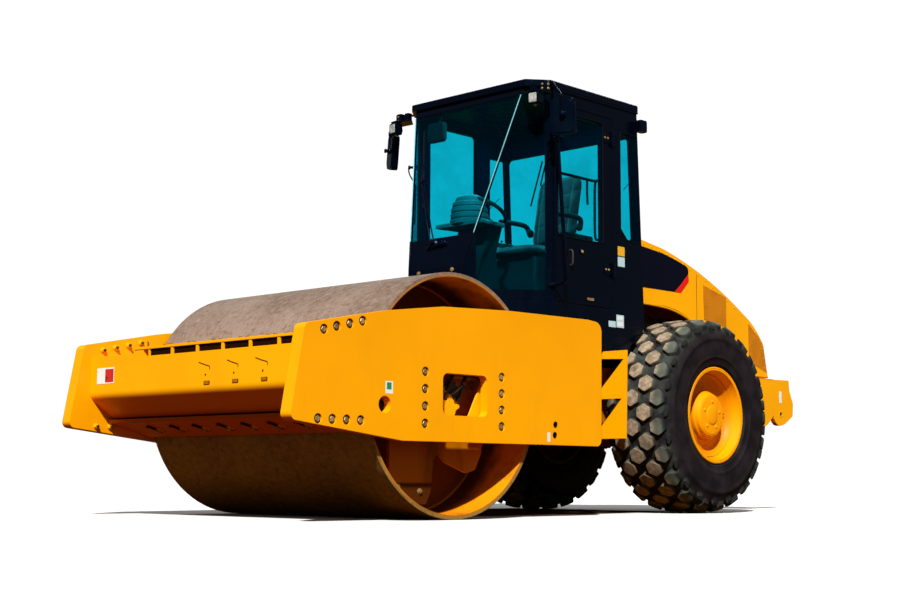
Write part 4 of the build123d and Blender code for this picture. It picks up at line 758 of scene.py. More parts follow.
for side, word in ((1, "left"), (-1, "right")):
    wheel = frame_at((side * TYRE_X, AXLE_Y, AXLE_Z), (side, 0, 0))
    tyre = Piece(f"tyre_tread_{word}", f"wheel_{word}", "tyre_rubber", TYRE, sharp=40)
    # carcass: tread floor, shoulder, sidewall with moulded rings, bead
    half = CARCASS[:-1] + [(0.2790, 0.608), (0.2860, 0.599), (0.2895, 0.588), (0.2893, 0.577), (0.2868, 0.573), (0.2878, 0.545),
                           (0.2885, 0.508), (0.2870, 0.474), (0.2835, 0.447), (0.2852, 0.443), (0.2840, 0.438), (0.2795, 0.434),
                           (0.2740, 0.418), (0.2680, 0.400), (0.2680, 0.388), (0.2630, 0.384), (0.2420, 0.372), (0.2400, 0.346)]
    profile = [(r, -x) for x, r in reversed(half)] + [(r, x) for x, r in half[1:]]
    tyre.lathe(wheel, profile, 120)
    top_layer = tyre.bm.verts.layers.float.new("top")
    turn_step = math.tau / LUGS_ROUND
    for row, s0 in enumerate((-0.224, -0.112, 0.0, 0.112, 0.224)):
        shift = 0.5 * (row % 2)
        for k in range(LUGS_ROUND):
            lug(tyre.bm, top_layer, wheel, s0, (k + shift) * turn_step, 0.124, 0.142, 0.0)
    for s0 in (-0.296, 0.296):
        for k in range(LUGS_ROUND):
            lug(tyre.bm, top_layer, wheel, s0, (k + 0.5) * turn_step, 0.034, 0.100, 0.0, pointed=False)
    obj = tyre.done()
    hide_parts(f"tyre_{word}")

    rim = Piece(f"rim_fittings_{word}", f"wheel_{word}", "rim_yellow", RIM, BOLT, DARK_BOLT, sharp=30)
    disc = frame_at((side * 0.902, AXLE_Y, AXLE_Z), (side, 0, 0))
    # dished transition from the disc to the rim, and the hub's shoulder
    rim.lathe(disc, [(0.262, 0.0), (0.275, 0.006), (0.292, 0.018), (0.305, 0.036), (0.3145, 0.060)], 72)
    rim.lathe(disc, [(0.226, 0.0), (0.220, 0.006), (0.206, 0.010), (0.1905, 0.024)], 60)
    hub = frame_at((side * 0.990, AXLE_Y, AXLE_Z), (side, 0, 0))
    rim.lathe(hub, [(0.150, 0.0), (0.146, 0.0035), (0.120, 0.0055), (0.074, 0.0060), (0.070, 0.0095), (0.060, 0.0115), (0, 0.0125)], 48)
    for k in range(5):
        a = math.tau * (k + 0.2) / 5
        at = hub @ Matrix.Translation((0.104 * math.cos(a), 0.104 * math.sin(a), 0.005))
        rim.lathe(at, [(0.0125, 0), (0.0120, 0.0035), (0.008, 0.0060), (0, 0.0068)], 14, 0)
    # rolled lip of the rim flange and the valve
    lip = frame_at((side * 1.033, AXLE_Y, AXLE_Z), (side, 0, 0))
    rim.lathe(lip, [(0.3425, -0.018), (0.348, -0.004), (0.356, 0.0015), (0.364, 0.0012), (0.3685, -0.006), (0.3685, -0.012)], 96)
    rim.tube(smooth_line([wheel @ Vector((side * 0.265, 0.02, 0.126)), wheel @ Vector((side * 0.262, 0.02, 0.145)), wheel @ Vector((side * 0.252, 0.02, 0.160))], 4), 0.006, 8, 1)
    rim.done()

# ---------------------------------------------------------------- rear frame: pins, hoses, plates
rear = Piece("hinge_and_hoses", "rear_frame", "engine_iron", CAST, BOLT, RUBBER_HOSE, YELLOW)
pin_top = frame_at((0, -0.180, 0.920), UP)
rear.lathe(pin_top, [(0.044, 0.0152), (0.070, 0.0152), (0.070, 0.026), (0.064, 0.030), (0, 0.030)], 40, 3)
for k in range(6):
    a = math.tau * k / 6
    rear.bolt(pin_top @ Matrix.Translation((0.055 * math.cos(a), 0.055 * math.sin(a), 0.030)), 0.020, 0.010, 1)
for s in (1, -1):
    # caps on the barrel pins, hose ends and hoses that run back into the frame
    cap = frame_at((s * 0.190, 0.440, 0.790), UP)
    rear.lathe(cap, [(0.034, 0.0102), (0.034, 0.017), (0.030, 0.020), (0, 0.020)], 28, 3)
    rear.bolt(cap @ Matrix.Translation((0, 0, 0.020)), 0.022, 0.010, 1)
    for k, x in enumerate((0.285, 0.325)):
        run = [(s * x, 0.02 + 0.05 * k, 0.800), (s * (x - 0.005), 0.20, 0.812), (s * (x + 0.01), 0.40, 0.800), (s * (x + 0.02), 0.590, 0.812)]
        rear.tube(smooth_line(run, 7), 0.013, 12, 2)
        rear.lathe(frame_at(run[-1], BACK), [(0.019, -0.045), (0.019, -0.002), (0.0, -0.002)], 12, 1)
        rear.lathe(frame_at(run[0], FRONT), [(0.019, -0.002), (0.019, 0.03), (0.015, 0.034), (0, 0.034)], 6, 1)
        rear.block((s * x - 0.03, 0.30, 0.770), (s * x + 0.03, 0.33, 0.785), 0, 0.003)
rear.done()

axle = Piece("axle_fittings", "rear_frame", "body_yellow", YELLOW_SHADED, BOLT, CAST)
for s in (1, -1):
    at = frame_at((s * 0.180, AXLE_Y, AXLE_Z), (s, 0, 0))
    axle.lathe(at, [(0.228, 0.0), (0.222, 0.012), (0.190, 0.032), (0.150, 0.060), (0.1205, 0.100)], 48)
    for k in range(14):
        a = math.tau * k / 14
        axle.bolt(at @ Matrix.Translation((0.210 * math.cos(a), 0.210 * math.sin(a), 0.016)), 0.026, 0.014, 1)
    flange = frame_at((s * 0.520, AXLE_Y, AXLE_Z), (s, 0, 0))
    axle.lathe(flange, [(0.1205, -0.03), (0.150, -0.02), (0.150, 0.0), (0.146, 0.006), (0.1205, 0.006)], 40)
    for z0, z1 in ((0.865, 0.885),):
        for y in (-0.10, 0.10):
            axle.bolt(frame_at((s * 0.400, AXLE_Y + y * 1.9, AXLE_Z), (-s, 0, 0)), 0.05, 0.03, 1)
# input flange and drain plug of the differential
axle.lathe(frame_at((0, AXLE_Y - 0.226, AXLE_Z), FRONT), [(0.10, 0), (0.10, 0.03), (0.075, 0.05), (0.075, 0.10), (0.06, 0.104), (0, 0.104)], 32)
axle.bolt(frame_at((0, AXLE_Y, AXLE_Z - 0.229), DOWN), 0.034, 0.012, 1)
axle.tube([(0, AXLE_Y - 0.33, AXLE_Z), (0, 0.70, 0.70)], 0.038, 20, 2)
axle.done()

tow = Piece("tow_plate_fittings", "rear_frame", "body_yellow", YELLOW, WHITE, CAST, BOLT)
for s in (1, -1):
    out = (s, 0, 0)
    ring = frame_at((s * 0.640, 2.854, 0.811), out)
    tow.lathe(ring, [(0.0185, 0.0), (0.0185, 0.0015), (0.027, 0.0015), (0.029, 0.0)], 32, 0)
    # painted shade: a dark lining inside the hole
    tow.lathe(frame_at((s * 0.600, 2.854, 0.811), out), [(0.0173, 0.002), (0.0158, 0.003), (0.0158, 0.038), (0.0173, 0.0385)], 28, 2)
    tow.prism(frame_at((s * 0.640, 2.852, 0.957), out), round_rect(0.040, 0.100, 0.003), 0.0012, 1)
    tow.block((s * 0.610, 2.470, 1.100) if s > 0 else (-0.640, 2.470, 1.100), (0.640, 2.735, 1.1055) if s > 0 else (-0.610, 2.735, 1.1055))
tow.done()

steps = Piece("step_treads", "rear_frame", "body_yellow", YELLOW, BOLT)
for s in (1, -1):
    for z, x1 in ((1.187, 0.888), (0.862, 0.880), (0.560, 0.874)):
        x = 0.500
        while x < x1 - 0.02:
            for y in (0.362, 0.390, 0.418, 0.446, 0.470):
                if x + 0.022 > x1 + 0.003 - max(0.0, y + 0.008 - 0.352) * 1.087:
                    continue
                lo, hi = sorted((s * x, s * (x + 0.018)))
                steps.block((lo, y, z), (hi, y + 0.008, z + 0.0035), 0, 0.001)
            x += 0.034
    for z in (1.060, 0.900, 0.700):
        steps.bolt(frame_at((s * 0.450, 0.330, z), FRONT), 0.030, 0.013, 1)
steps.done()

# ---------------------------------------------------------------- hood
# top line of the hood's side, columns: y, z
HOOD_TOP = [(0.872, 2.102), (1.185, 2.058), (1.480, 1.985), (1.764, 1.888), (2.050, 1.771), (2.322, 1.635), (2.525, 1.505), (2.626, 1.398)]
for side, word in ((1, "left"), (-1, "right")):
    skin = Piece(f"hood_side_{word}", "hood", "body_yellow", YELLOW, PANEL_BLACK, RED, GRILLE, DARK_BOLT)
    out = (side, 0, 0)
    face = Matrix(((0, 0, side, side * 0.620), (1, 0, 0, 0), (0, 1, 0, 0), (0, 0, 0, 1)))

    def lay(outline, thick, material, chamfer=0.0005):
        skin.prism(face, outline, thick, material, chamfer)

    lay([(0.878, 2.050), (1.184, 2.021), (1.360, 1.986), (1.490, 1.955), (1.520, 1.940), (1.531, 1.915), (1.529, 1.892),
         (1.4225, 1.7950), (1.334, 1.7295), (0.878, 1.7275)], 0.0020, 1)
    lay([(1.5295, 1.888), (1.535, 1.832), (1.424, 1.7290), (1.338, 1.7290), (1.426, 1.7930)], 0.0020, 2)
    for patch in ([(1.735, 1.822), (2.068, 1.750), (2.066, 1.503), (1.741, 1.541)],
                  [(2.394, 1.561), (2.560, 1.452), (2.627, 1.385), (2.678, 1.157), (2.398, 1.238)]):
        lay(patch, 0.0016, 3)
    # rivets that follow the top edge
    for y in [0.93 + 0.105 * k for k in range(17)]:
        for (y0, z0), (y1, z1) in zip(HOOD_TOP, HOOD_TOP[1:]):
            if y0 <= y <= y1:
                z = z0 + (z1 - z0) * (y - y0) / (y1 - y0)
                skin.lathe(frame_at((side * 0.620, y, z - 0.026), out), [(0.0075, 0), (0.0065, 0.0025), (0.0035, 0.0042), (0, 0.0046)], 12, 0)
    for z in (1.20, 1.28, 1.36):
        skin.lathe(frame_at((side * 0.620, 2.640 - (z - 1.2) * 0.2, z), out), [(0.0075, 0), (0.0065, 0.0025), (0, 0.0046)], 12, 0)
    # panel joint and bottom rail
    lay([(1.640, 1.900), (1.645, 1.898), (1.645, 1.470), (1.640, 1.472)], 0.0010, 4, 0)
    lay([(2.075, 1.000 + 0.130), (2.688, 1.130), (2.690, 1.121), (2.066, 1.121)], 0.0040, 0, 0.001)
    lay([(2.20, 1.165), (2.30, 1.165), (2.30, 1.195), (2.20, 1.195)], 0.006, 4, 0.002)
    # rolled edge round the wheel arch
    arch = [(0.873, 1.6035), (1.080, 1.600), (1.28, 1.588), (1.47, 1.548), (1.62, 1.490), (1.740, 1.415), (1.87, 1.305), (1.97, 1.185), (2.03, 1.118)]
    skin.tube(smooth_line([(side * 0.612, y, z) for y, z in arch], 6), 0.0085, 8, 0)
    skin.done()

tail = Piece("hood_tail", "hood", "body_yellow", YELLOW, GRILLE, DARK_BOLT, BOLT, LENS)
low, high = Vector((0, 2.691, 1.113)), Vector((0, 2.626, 1.398))
slope = (high - low).normalized()
back = Vector((0, slope.z, -slope.y))
mid = (low + high) / 2
at = frame_at(mid + back * 0.0002, back, slope)
tail.prism(at, round_rect(0.98, 0.215, 0.02), 0.0016, 1, 0.0006)
for k in range(5):
    tail.prism(frame_at(mid + back * 0.0018 + slope * (-0.084 + 0.042 * k), back, slope), round_rect(0.98, 0.007, 0.003), 0.004, 0, 0.001)
for s in (1, -1):
    lamp = frame_at(mid + Vector((s * 0.558, 0, 0)) + slope * 0.05, back, slope)
    tail.prism(lamp, round_rect(0.060, 0.110, 0.010), 0.006, 2, 0.002)
    tail.prism(lamp @ Matrix.Translation((0, 0.012, 0.006)), round_rect(0.048, 0.070, 0.008), 0.006, 4, 0.002)
tail.block((-0.06, 2.672, 1.122), (0.06, 2.690, 1.140), 2, 0.003)
# pressed rib and lifting handle on the hood's top
tops = [(y, z) for y, z in HOOD_TOP]
for x in (-0.36, 0.36):
    pts = smooth_line([(x, y, z + 0.0005) for y, z in tops[:-1]], 8)
    tail.tube(pts, 0.0075, 8, 0)
tail.tube(smooth_line([(-0.12, 2.30, 1.648), (-0.12, 2.312, 1.690), (-0.09, 2.316, 1.697), (0.09, 2.316, 1.697), (0.12, 2.312, 1.690), (0.12, 2.30, 1.648)], 5), 0.009, 10, 3)
tail.done()

# ---------------------------------------------------------------- cab
def shield_y(z):
    return -0.745 + 0.2604 * (z - 1.760)


def bend(z, lift=0.0):
    s = (-0.232 - shield_y(z)) / 0.7723
    return Vector((0.690 - 0.6353 * s + lift * 0.6, shield_y(z) - lift, z))


GLASS_EDGE_HIGHLIGHT = plastic("glass edge painted highlight", (0.20, 0.60, 0.66), 0.22, 300.0)
cab = Piece("cab_trim", "rear_frame", "cab_black", BLACK, SEAL, GLASS_EDGE_HIGHLIGHT, BOLT, PLASTIC, sharp=30)
for s in (1, -1):
    # painted highlight: a pale cyan line along the glass edge where the corner pane meets the windshield, then the
    # black bar below it
    line = []
    for z in (1.992, 2.33, 2.67, 3.008):
        p = bend(z, 0.0015)
        line.append((s * p.x, p.y, p.z))
    cab.tube(line, 0.0034, 8, 2)
    p, q = bend(1.990, 0.001), bend(1.762, 0.001)
    cab.tube([(s * p.x, p.y, p.z), (s * q.x, q.y, q.z), (s * 0.2685, -0.7460, 1.545)], 0.006, 8, 0)
    # A-pillar corner moulding and drip rail
    cab.tube([(s * 0.690, -0.232, 1.548), (s * 0.690, -0.232, 3.066)], 0.010, 10, 0)
    cab.block(*(sorted_pair for sorted_pair in ((min(s * 0.690, s * 0.6985), -0.225, 3.052), (max(s * 0.690, s * 0.6985), 0.770, 3.067))), 0, 0.002)
    # quarter window rubber
    ring = [(0.548, 2.150), (0.552, 2.112), (0.640, 2.048), (0.790, 2.046)]
    cab.tube(smooth_line([(s * 0.6905, y, z) for y, z in ring], 5), 0.0045, 8, 1)
    cab.tube([(s * 0.6905, 0.548, 2.150), (s * 0.6905, 0.548, 2.845), (s * 0.6905, 0.560, 2.873), (s * 0.6905, 0.765, 2.874)], 0.0045, 8, 1)
    # wiper of the corner pane, on its foot at the pane's outer lower side
    u = Vector((-0.6353 * s, -0.7723, 0))
    n = Vector((0.7723 * s, -0.6353, 0))
    root = Vector((s * 0.690, -0.232, 0))
    foot = root + u * 0.030 + Vector((0, 0, 2.67))
    drop = Vector((0, 0, -1))
    arm = [foot + n * 0.004, foot + n * 0.066, foot + n * 0.076 + drop * 0.012, foot + n * 0.066 + u * 0.012 + drop * 0.060,
           foot + n * 0.030 + u * 0.030 + drop * 0.130, foot + n * 0.016 + u * 0.045 + drop * 0.200, foot + n * 0.014 + u * 0.075 + drop * 0.330]
    cab.tube(smooth_line(arm, 6), 0.0055, 8, 0)
    cab.lathe(frame_at(foot, n), [(0.022, 0.0), (0.022, 0.012), (0.012, 0.020), (0.010, 0.060), (0.016, 0.064), (0.016, 0.078), (0, 0.080)], 20, 0)
    blade = [foot + n * 0.012 + u * (0.060 + 0.085 * k) + drop * (0.150 + 0.330 * k) for k in (0.0, 0.35, 0.7, 1.0)]
    cab.tube(blade, 0.006, 8, 1)
    # wiper and catch of the quarter window
    cab.tube(smooth_line([(s * 0.6945, 0.583, 2.433), (s * 0.6965, 0.650, 2.496), (s * 0.6945, 0.723, 2.559)], 4), 0.0032, 8, 0)
    cab.lathe(frame_at((s * 0.690, 0.752, 2.203), (s, 0, 0)), [(0.010, 0), (0.010, 0.006), (0.006, 0.009), (0, 0.009)], 14, 0)
cab.done()

# front wiper: foot on the lower panel, arm and blade on the windshield
shield_n = Vector((0, -1, 0.2604)).normalized()


def on_shield(x, z, out):
    return Vector((x, shield_y(z), z)) + shield_n * out


wiper = Piece("windshield_wiper", "rear_frame", "cab_black", PANEL_BLACK, SEAL, BOLT, sharp=30)
wiper.lathe(frame_at(on_shield(-0.055, 1.945, 0), shield_n), [(0.040, 0.0), (0.038, 0.018), (0.024, 0.030), (0.022, 0.048), (0, 0.050)], 24, 0)
wiper.lathe(frame_at(on_shield(0.035, 1.935, 0), shield_n), [(0.026, 0.0), (0.024, 0.014), (0.012, 0.030), (0, 0.032)], 20, 0)
wiper.lathe(frame_at(on_shield(-0.115, 1.917, 0), shield_n), [(0.018, 0.0), (0.016, 0.010), (0, 0.016)], 16, 0)
wiper.prism(frame_at(on_shield(-0.025, 1.944, 0.0), shield_n), round_rect(0.17, 0.040, 0.012), 0.014, 0, 0.004)
for x0, x1 in ((-0.055, -0.285), (-0.020, -0.262)):
    wiper.tube(smooth_line([on_shield(x0, 1.948, 0.050), on_shield(x0 * 0.7 + x1 * 0.3, 2.10, 0.056), on_shield(x0 * 0.35 + x1 * 0.65, 2.28, 0.050),
                            on_shield(x1, 2.44, 0.038)], 6), 0.0060, 8, 0)
wiper.tube([on_shield(-0.300, 2.43, 0.038), on_shield(-0.250, 2.45, 0.038)], 0.010, 8, 0)
blade = smooth_line([on_shield(-0.235, 2.235, 0.014), on_shield(-0.293, 2.470, 0.016), on_shield(-0.345, 2.67, 0.016), on_shield(-0.395, 2.87, 0.014)], 6)
wiper.tube(blade, 0.0075, 8, 1)
wiper.tube(smooth_line([on_shield(-0.262, 2.32, 0.022), on_shield(-0.272, 2.39, 0.034), on_shield(-0.288, 2.45, 0.036), on_shield(-0.305, 2.52, 0.034),
                        on_shield(-0.320, 2.60, 0.022)], 5), 0.0055, 8, 0)
wiper.lathe(frame_at((0.1676, -0.7455, 1.733), FRONT), [(0.016, 0.0), (0.015, 0.008), (0.008, 0.011), (0, 0.012)], 18, 2)
wiper.lathe(frame_at((-0.1676, -0.7455, 1.733), FRONT), [(0.016, 0.0), (0.015, 0.008), (0.008, 0.011), (0, 0.012)], 18, 2)
wiper.done()

labels = Piece("cab_labels", "rear_frame", "cab_black", LABEL_YELLOW, LABEL_PALE, WHITE)
side_face = Matrix(((0, 0, 1, 0.690), (1, 0, 0, 0), (0, 1, 0, 0), (0, 0, 0, 1)))
for y, z, w, h, m in ((0.5515, 1.957, 0.085, 0.072, 0), (0.5520, 1.877, 0.085, 0.074, 1), (0.434, 1.398, 0.086, 0.046, 1), (0.532, 1.425, 0.092, 0.096, 1)):
    labels.prism(side_face @ Matrix.Translation((y, z, 0)), round_rect(w, h, 0.004), 0.0014, m)
labels.prism(side_face @ Matrix.Translation((0.532, 1.447, 0.0014)), round_rect(0.066, 0.030, 0.003), 0.0005, 2)
labels.prism(side_face @ Matrix.Translation((0.532, 1.404, 0.0014)), round_rect(0.066, 0.034, 0.003), 0.0005, 2)
labels.done()

# door: window rubber, hinges, latch, pull and catch
door = Piece("door_fittings", "door", "cab_black", BLACK, SEAL, BOLT, PLASTIC, sharp=30)
door_face = Matrix(((0, 0, 1, 0.690), (1, 0, 0, 0), (0, 1, 0, 0), (0, 0, 0, 1)))
outline = round_rect(0.530, 0.913, 0.034, 5)
ring = [door_face @ Vector((x + 0.069, y + 2.4475, 0.0005)) for x, y in outline]
door.tube(ring + ring[:2], 0.0055, 8, 1, ends=False)
for z in (2.800, 1.800):
    door.prism(door_face @ Matrix.Translation((0.385, z, 0)), round_rect(0.085, 0.075, 0.008), 0.006, 0, 0.002)
    for dy in (-0.022, 0.012):
        door.bolt(door_face @ Matrix.Translation((0.378 + dy, z, 0.006)), 0.018, 0.006, 2, washer=False)
door.prism(door_face @ Matrix.Translation((0.075, 1.902, 0)), round_rect(0.052, 0.034, 0.010), 0.008, 0, 0.003)
door.lathe(door_face @ Matrix.Translation((0.075, 1.902, 0.008)), [(0.012, 0), (0.011, 0.004), (0, 0.006)], 16, 2)
door.prism(door_face @ Matrix.Translation((-0.062, 1.842, 0)), round_rect(0.034, 0.125, 0.012), 0.005, 1, 0.002)
door.tube(smooth_line([(0.692, -0.062, 1.785), (0.716, -0.062, 1.795), (0.720, -0.062, 1.842), (0.716, -0.062, 1.889), (0.692, -0.062, 1.899)], 5), 0.0075, 10, 3)
door.prism(door_face @ Matrix.Translation((0.176, 1.560, 0)), round_rect(0.075, 0.020, 0.006), 0.006, 2, 0.002)
# inner pull bars of the door
door.tube(smooth_line([(0.640, -0.195, 2.470), (0.606, -0.150, 2.4755), (0.600, 0.060, 2.4800), (0.606, 0.290, 2.4755), (0.640, 0.332, 2.470)], 6), 0.011, 10, 3)
door.tube(smooth_line([(0.640, -0.118, 2.700), (0.604, -0.115, 2.687), (0.601, -0.104, 2.560), (0.603, -0.096, 2.478)], 6), 0.010, 10, 3)
door.tube([(0.603, 0.255, 2.478), (0.603, 0.255, 2.370), (0.606, 0.256, 2.287)], 0.009, 10, 3)
door.tube(smooth_line([(0.640, 0.352, 2.478), (0.607, 0.347, 2.458), (0.603, 0.345, 2.250), (0.607, 0.345, 2.050), (0.640, 0.350, 2.031)], 6), 0.010, 10, 3)
door.done()

# lamps: lenses, bezels and round housings; one more pair looks back from the cab's rear corners
lamps = Piece("lamp_details", "rear_frame", "cab_black", LENS, BLACK, BOLT, PLASTIC, sharp=30)
for s in (1, -1):
    for x, y, z, turn in ((0.710, -0.466, 2.942, 8.0),):
        a = math.radians(turn)
        n = Vector((s * math.sin(a), -math.cos(a), 0))
        at = frame_at(Vector((s * x, y, z)) + n * 0.0300, n)
        lamps.prism(at, round_rect(0.082, 0.084, 0.012), 0.004, 1, 0.001)
        lamps.prism(at @ Matrix.Translation((0, 0, 0.004)), round_rect(0.064, 0.068, 0.008), 0.005, 0, 0.003)
        rear_at = frame_at(Vector((s * x, y, z)) - n * 0.0300, -n)
        lamps.lathe(rear_at, [(0.036, 0.0), (0.034, 0.010), (0.022, 0.022), (0, 0.024)], 24, 1)
        lamps.bolt(frame_at(Vector((s * x, y, z - 0.044)), DOWN), 0.018, 0.010, 2)
    # bolts of the clamp block, and its cap
    for z in (3.022, 3.052):
        lamps.bolt(frame_at((s * 0.734, -0.417, z), FRONT), 0.014, 0.007, 2)
        lamps.bolt(frame_at((s * 0.763, -0.386, z), (s, 0, 0)), 0.016, 0.008, 2)
    lamps.prism(Matrix.Translation((s * 0.734, -0.386, 3.072)), round_rect(0.050, 0.054, 0.010), 0.006, 1, 0.003)
    at = frame_at((s * 0.728, 0.810, 2.950), BACK)
    lamps.prism(at, round_rect(0.050, 0.082, 0.008), 0.003, 1, 0.001)
    lamps.prism(at @ Matrix.Translation((0, 0, 0.003)), round_rect(0.040, 0.070, 0.006), 0.003, 0, 0.001)
lamps.done()

mirror = Piece("mirror_details", "rear_frame", "cab_black", MIRROR_GLASS, PLASTIC, BLACK, sharp=30)
for s in (1, -1):
    a = math.radians(30)
    n = Vector((s * math.sin(a), -math.cos(a), 0))
    side_dir = Vector((math.cos(a), s * math.sin(a), 0))
    centre = Vector((s * 0.866, -0.342, 2.802))
    roll = Matrix.Rotation(math.radians(2.0 if s > 0 else -15.0), 4, "Z")
    front = frame_at(centre + n * 0.0250, n) @ roll
    # ball joint on the housing's back, and the glass on the operator's side
    mirror.prism(front, round_rect(0.152, 0.240, 0.032), 0.006, 2, 0.004)
    mirror.lathe(front @ Matrix.Translation((0, 0.010, 0.006)), [(0.026, 0.0), (0.024, 0.008), (0.014, 0.014), (0.014, 0.024), (0.019, 0.032), (0.014, 0.040), (0, 0.043)], 20, 2)
    glass_at = frame_at(centre - n * 0.0250, -n) @ roll.inverted()
    # pale rim of the glass, seen edge-on
    mirror.tube([glass_at @ Vector((x, y, -0.006)) for x, y in round_rect(0.174, 0.264, 0.036)], 0.0030, 8, 1)
    mirror.prism(glass_at, round_rect(0.162, 0.252, 0.032), 0.0015, 0)
mirror.done()

# ---------------------------------------------------------------- inside the cab
dash = Piece("dash_pod", "rear_frame", "interior_plastic", PLASTIC_GREY, PLASTIC, BOLT, sharp=32)
# ribbed gaiter over the column head
centre_y = -0.372
rows = [(0.150, 2.120), (0.152, 2.150), (0.139, 2.158), (0.147, 2.166), (0.148, 2.195), (0.135, 2.203), (0.143, 2.211), (0.141, 2.240),
        (0.128, 2.248), (0.134, 2.256), (0.130, 2.282), (0.112, 2.292), (0.112, 2.300), (0.100, 2.322), (0.070, 2.338), (0.0, 2.345)]
pod = Matrix.Translation((0.0, centre_y - 0.015, 0)) @ Matrix.Diagonal((1.0, 0.90, 1.0, 1.0))
dash.lathe(pod, rows, 40, 0)
dash.prism(Matrix.Translation((0, -0.335, 2.100)), [(-0.235, -0.17), (0.235, -0.17), (0.200, 0.12), (-0.200, 0.12)], 0.030, 0, 0.008)
# inside mirror: rounded box on a stalk from the roof
dash.prism(frame_at((-0.322, -0.392, 2.865), FRONT), round_rect(0.180, 0.150, 0.030), 0.034, 1, 0.008)
dash.tube(smooth_line([(-0.322, -0.390, 2.92), (-0.322, -0.360, 2.99), (-0.322, -0.330, 3.064)], 5), 0.009, 10, 1)
dash.done()

controls = Piece("side_controls", "rear_frame", "interior_plastic", PLASTIC, PLASTIC_GREY, BOLT, SEAL, sharp=32)
for s in (1, -1):
    controls.block((s * 0.365 - 0.055, 0.16, 1.640), (s * 0.365 + 0.055, 0.60, 2.060), 1, 0.010)
    controls.block((s * 0.365 - 0.050, 0.18, 2.060), (s * 0.365 + 0.050, 0.56, 2.100), 0, 0.012)
    for y in (0.42, 0.48):
        controls.lathe(Matrix.Translation((s * 0.365, y, 2.100)), [(0.012, 0), (0.012, 0.012), (0.008, 0.015), (0, 0.015)], 14, 2)
controls.lathe(Matrix.Translation((-0.365, 0.245, 2.100)), [(0.034, 0), (0.030, 0.020), (0.020, 0.036), (0.012, 0.050), (0.010, 0.120), (0.020, 0.132), (0.024, 0.160), (0.016, 0.182), (0, 0.186)], 20, 3)
controls.done()

# seat: padded cushion and backrest, over the plain solids
def swell(obj, voxel, pressure, cap):
    """Blow the closed form up as cloth, and keep how far each point moved, up to the cap."""
    remesh = obj.modifiers.new("even mesh", "REMESH")
    remesh.mode, remesh.voxel_size = "VOXEL", voxel
    even = bpy.data.meshes.new_from_object(obj.evaluated_get(bpy.context.evaluated_depsgraph_get()))
    obj.modifiers.clear()
    obj.data = even
    start = [v.co.copy() for v in even.vertices]
    skin = obj.modifiers.new("skin", "CLOTH")
    skin.settings.quality = 5
    skin.settings.mass = 0.3
    skin.settings.tension_stiffness = skin.settings.compression_stiffness = 12.0
    skin.settings.bending_stiffness = 0.4
    skin.settings.use_pressure = True
    skin.settings.uniform_pressure_force = pressure
    skin.settings.effector_weights.gravity = 0.0
    skin.point_cache.frame_start, skin.point_cache.frame_end = 1, 20
    for f in range(1, 21):
        scene.frame_set(f)
    blown = bpy.data.meshes.new_from_object(obj.evaluated_get(bpy.context.evaluated_depsgraph_get()))
    obj.modifiers.clear()
    scene.frame_set(1)
    for v, old in zip(blown.vertices, start):
        move = v.co - old
        if move.length > cap:
            v.co = old + move * (cap / move.length)
    obj.data = blown


def pad(name, low, high, crown, material, waist=0.010, tilt=None, steps=18, slack=0.027, spare=0.012):
    """Crowned closed pad: sides pull in between the corners, with sewn channels across the top."""
    cx, cy, cz = [(a + b) / 2 for a, b in zip(low, high)]
    w, d, h = [(b - a) / 2 for a, b in zip(low, high)]
    bm = bmesh.new()
    bmesh.ops.create_cube(bm, size=2.0)
    bmesh.ops.subdivide_edges(bm, edges=bm.edges, cuts=steps, use_grid_fill=True)
    for v in bm.verts:
        x, y, z = v.co
        # squircle plan, softened top and bottom edges, flatter than the filled pad and wider, because filling draws the sides in
        p = 5.0
        n3 = (abs(x) ** p + abs(y) ** p + abs(z) ** p) ** (1 / p)
        x, y, z = x / n3, y / n3, z / n3
        ax, ay = abs(x), abs(y)
        x *= 1 - waist / w * (1 - y * y) * (ax > 0.8)
        y *= 1 - waist / d * (1 - x * x) * (ay > 0.8)
        lift = crown * (1 - x * x) * (1 - y * y) if z > 0.3 else 0.0
        v.co = Vector((cx + x * (w + spare), cy + y * (d + spare), cz + z * (h - slack * 0.6 - crown / 2) - crown / 2 + lift))
    mesh = bpy.data.meshes.new(name)
    bmesh.ops.recalc_face_normals(bm, faces=bm.faces)
    bm.to_mesh(mesh)
    bm.free()
    obj = bpy.data.objects.new(name, mesh)
    scene.collection.objects.link(obj)
    swell(obj, 0.0062, 4.0, 0.016)
    mesh = obj.data
    mesh.name = name
    for v in mesh.vertices:
        x, y, z = (v.co.x - cx) / w, (v.co.y - cy) / d, (v.co.z - cz) / h
        if z > 0.30:
            # sewn channels across, and the seam of each side bolster
            groove = 0.0
            for line in (-0.42, 0.0, 0.42):
                groove += 0.0060 * math.exp(-((y - line) / 0.042) ** 2) * (abs(x) < 0.64)
            groove += 0.0080 * math.exp(-((abs(x) - 0.66) / 0.038) ** 2) * max(0.0, 1 - abs(y) ** 6)
            v.co.z -= groove
        # the pad keeps to its own space, and lies flat where it rests
        v.co = Vector([min(max(c, a), b) for c, a, b in zip(v.co, low, high)])
    if tilt is not None:
        mesh.transform(tilt)
    mesh.materials.clear()
    mesh.materials.append(material)
    mesh.polygons.foreach_set("use_smooth", [True] * len(mesh.polygons))
    mesh.update()
    return obj


cushion = pad("seat_pad", (-0.245, 0.055, 1.927), (0.245, 0.545, 2.033), 0.022, CLOTH)
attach(cushion, "rear_frame")
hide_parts("seat_cushion")

lean = math.atan2(0.115, 0.608)
turn = Matrix.Translation((0, 0.6275, 2.3525)) @ Matrix.Rotation(math.pi / 2 - lean, 4, "X")
back_pad = pad("seat_back_pad", (-0.228, -0.296, -0.043), (0.228, 0.296, 0.043), 0.016, CLOTH, tilt=turn)
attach(back_pad, "rear_frame")
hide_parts("seat_backrest")

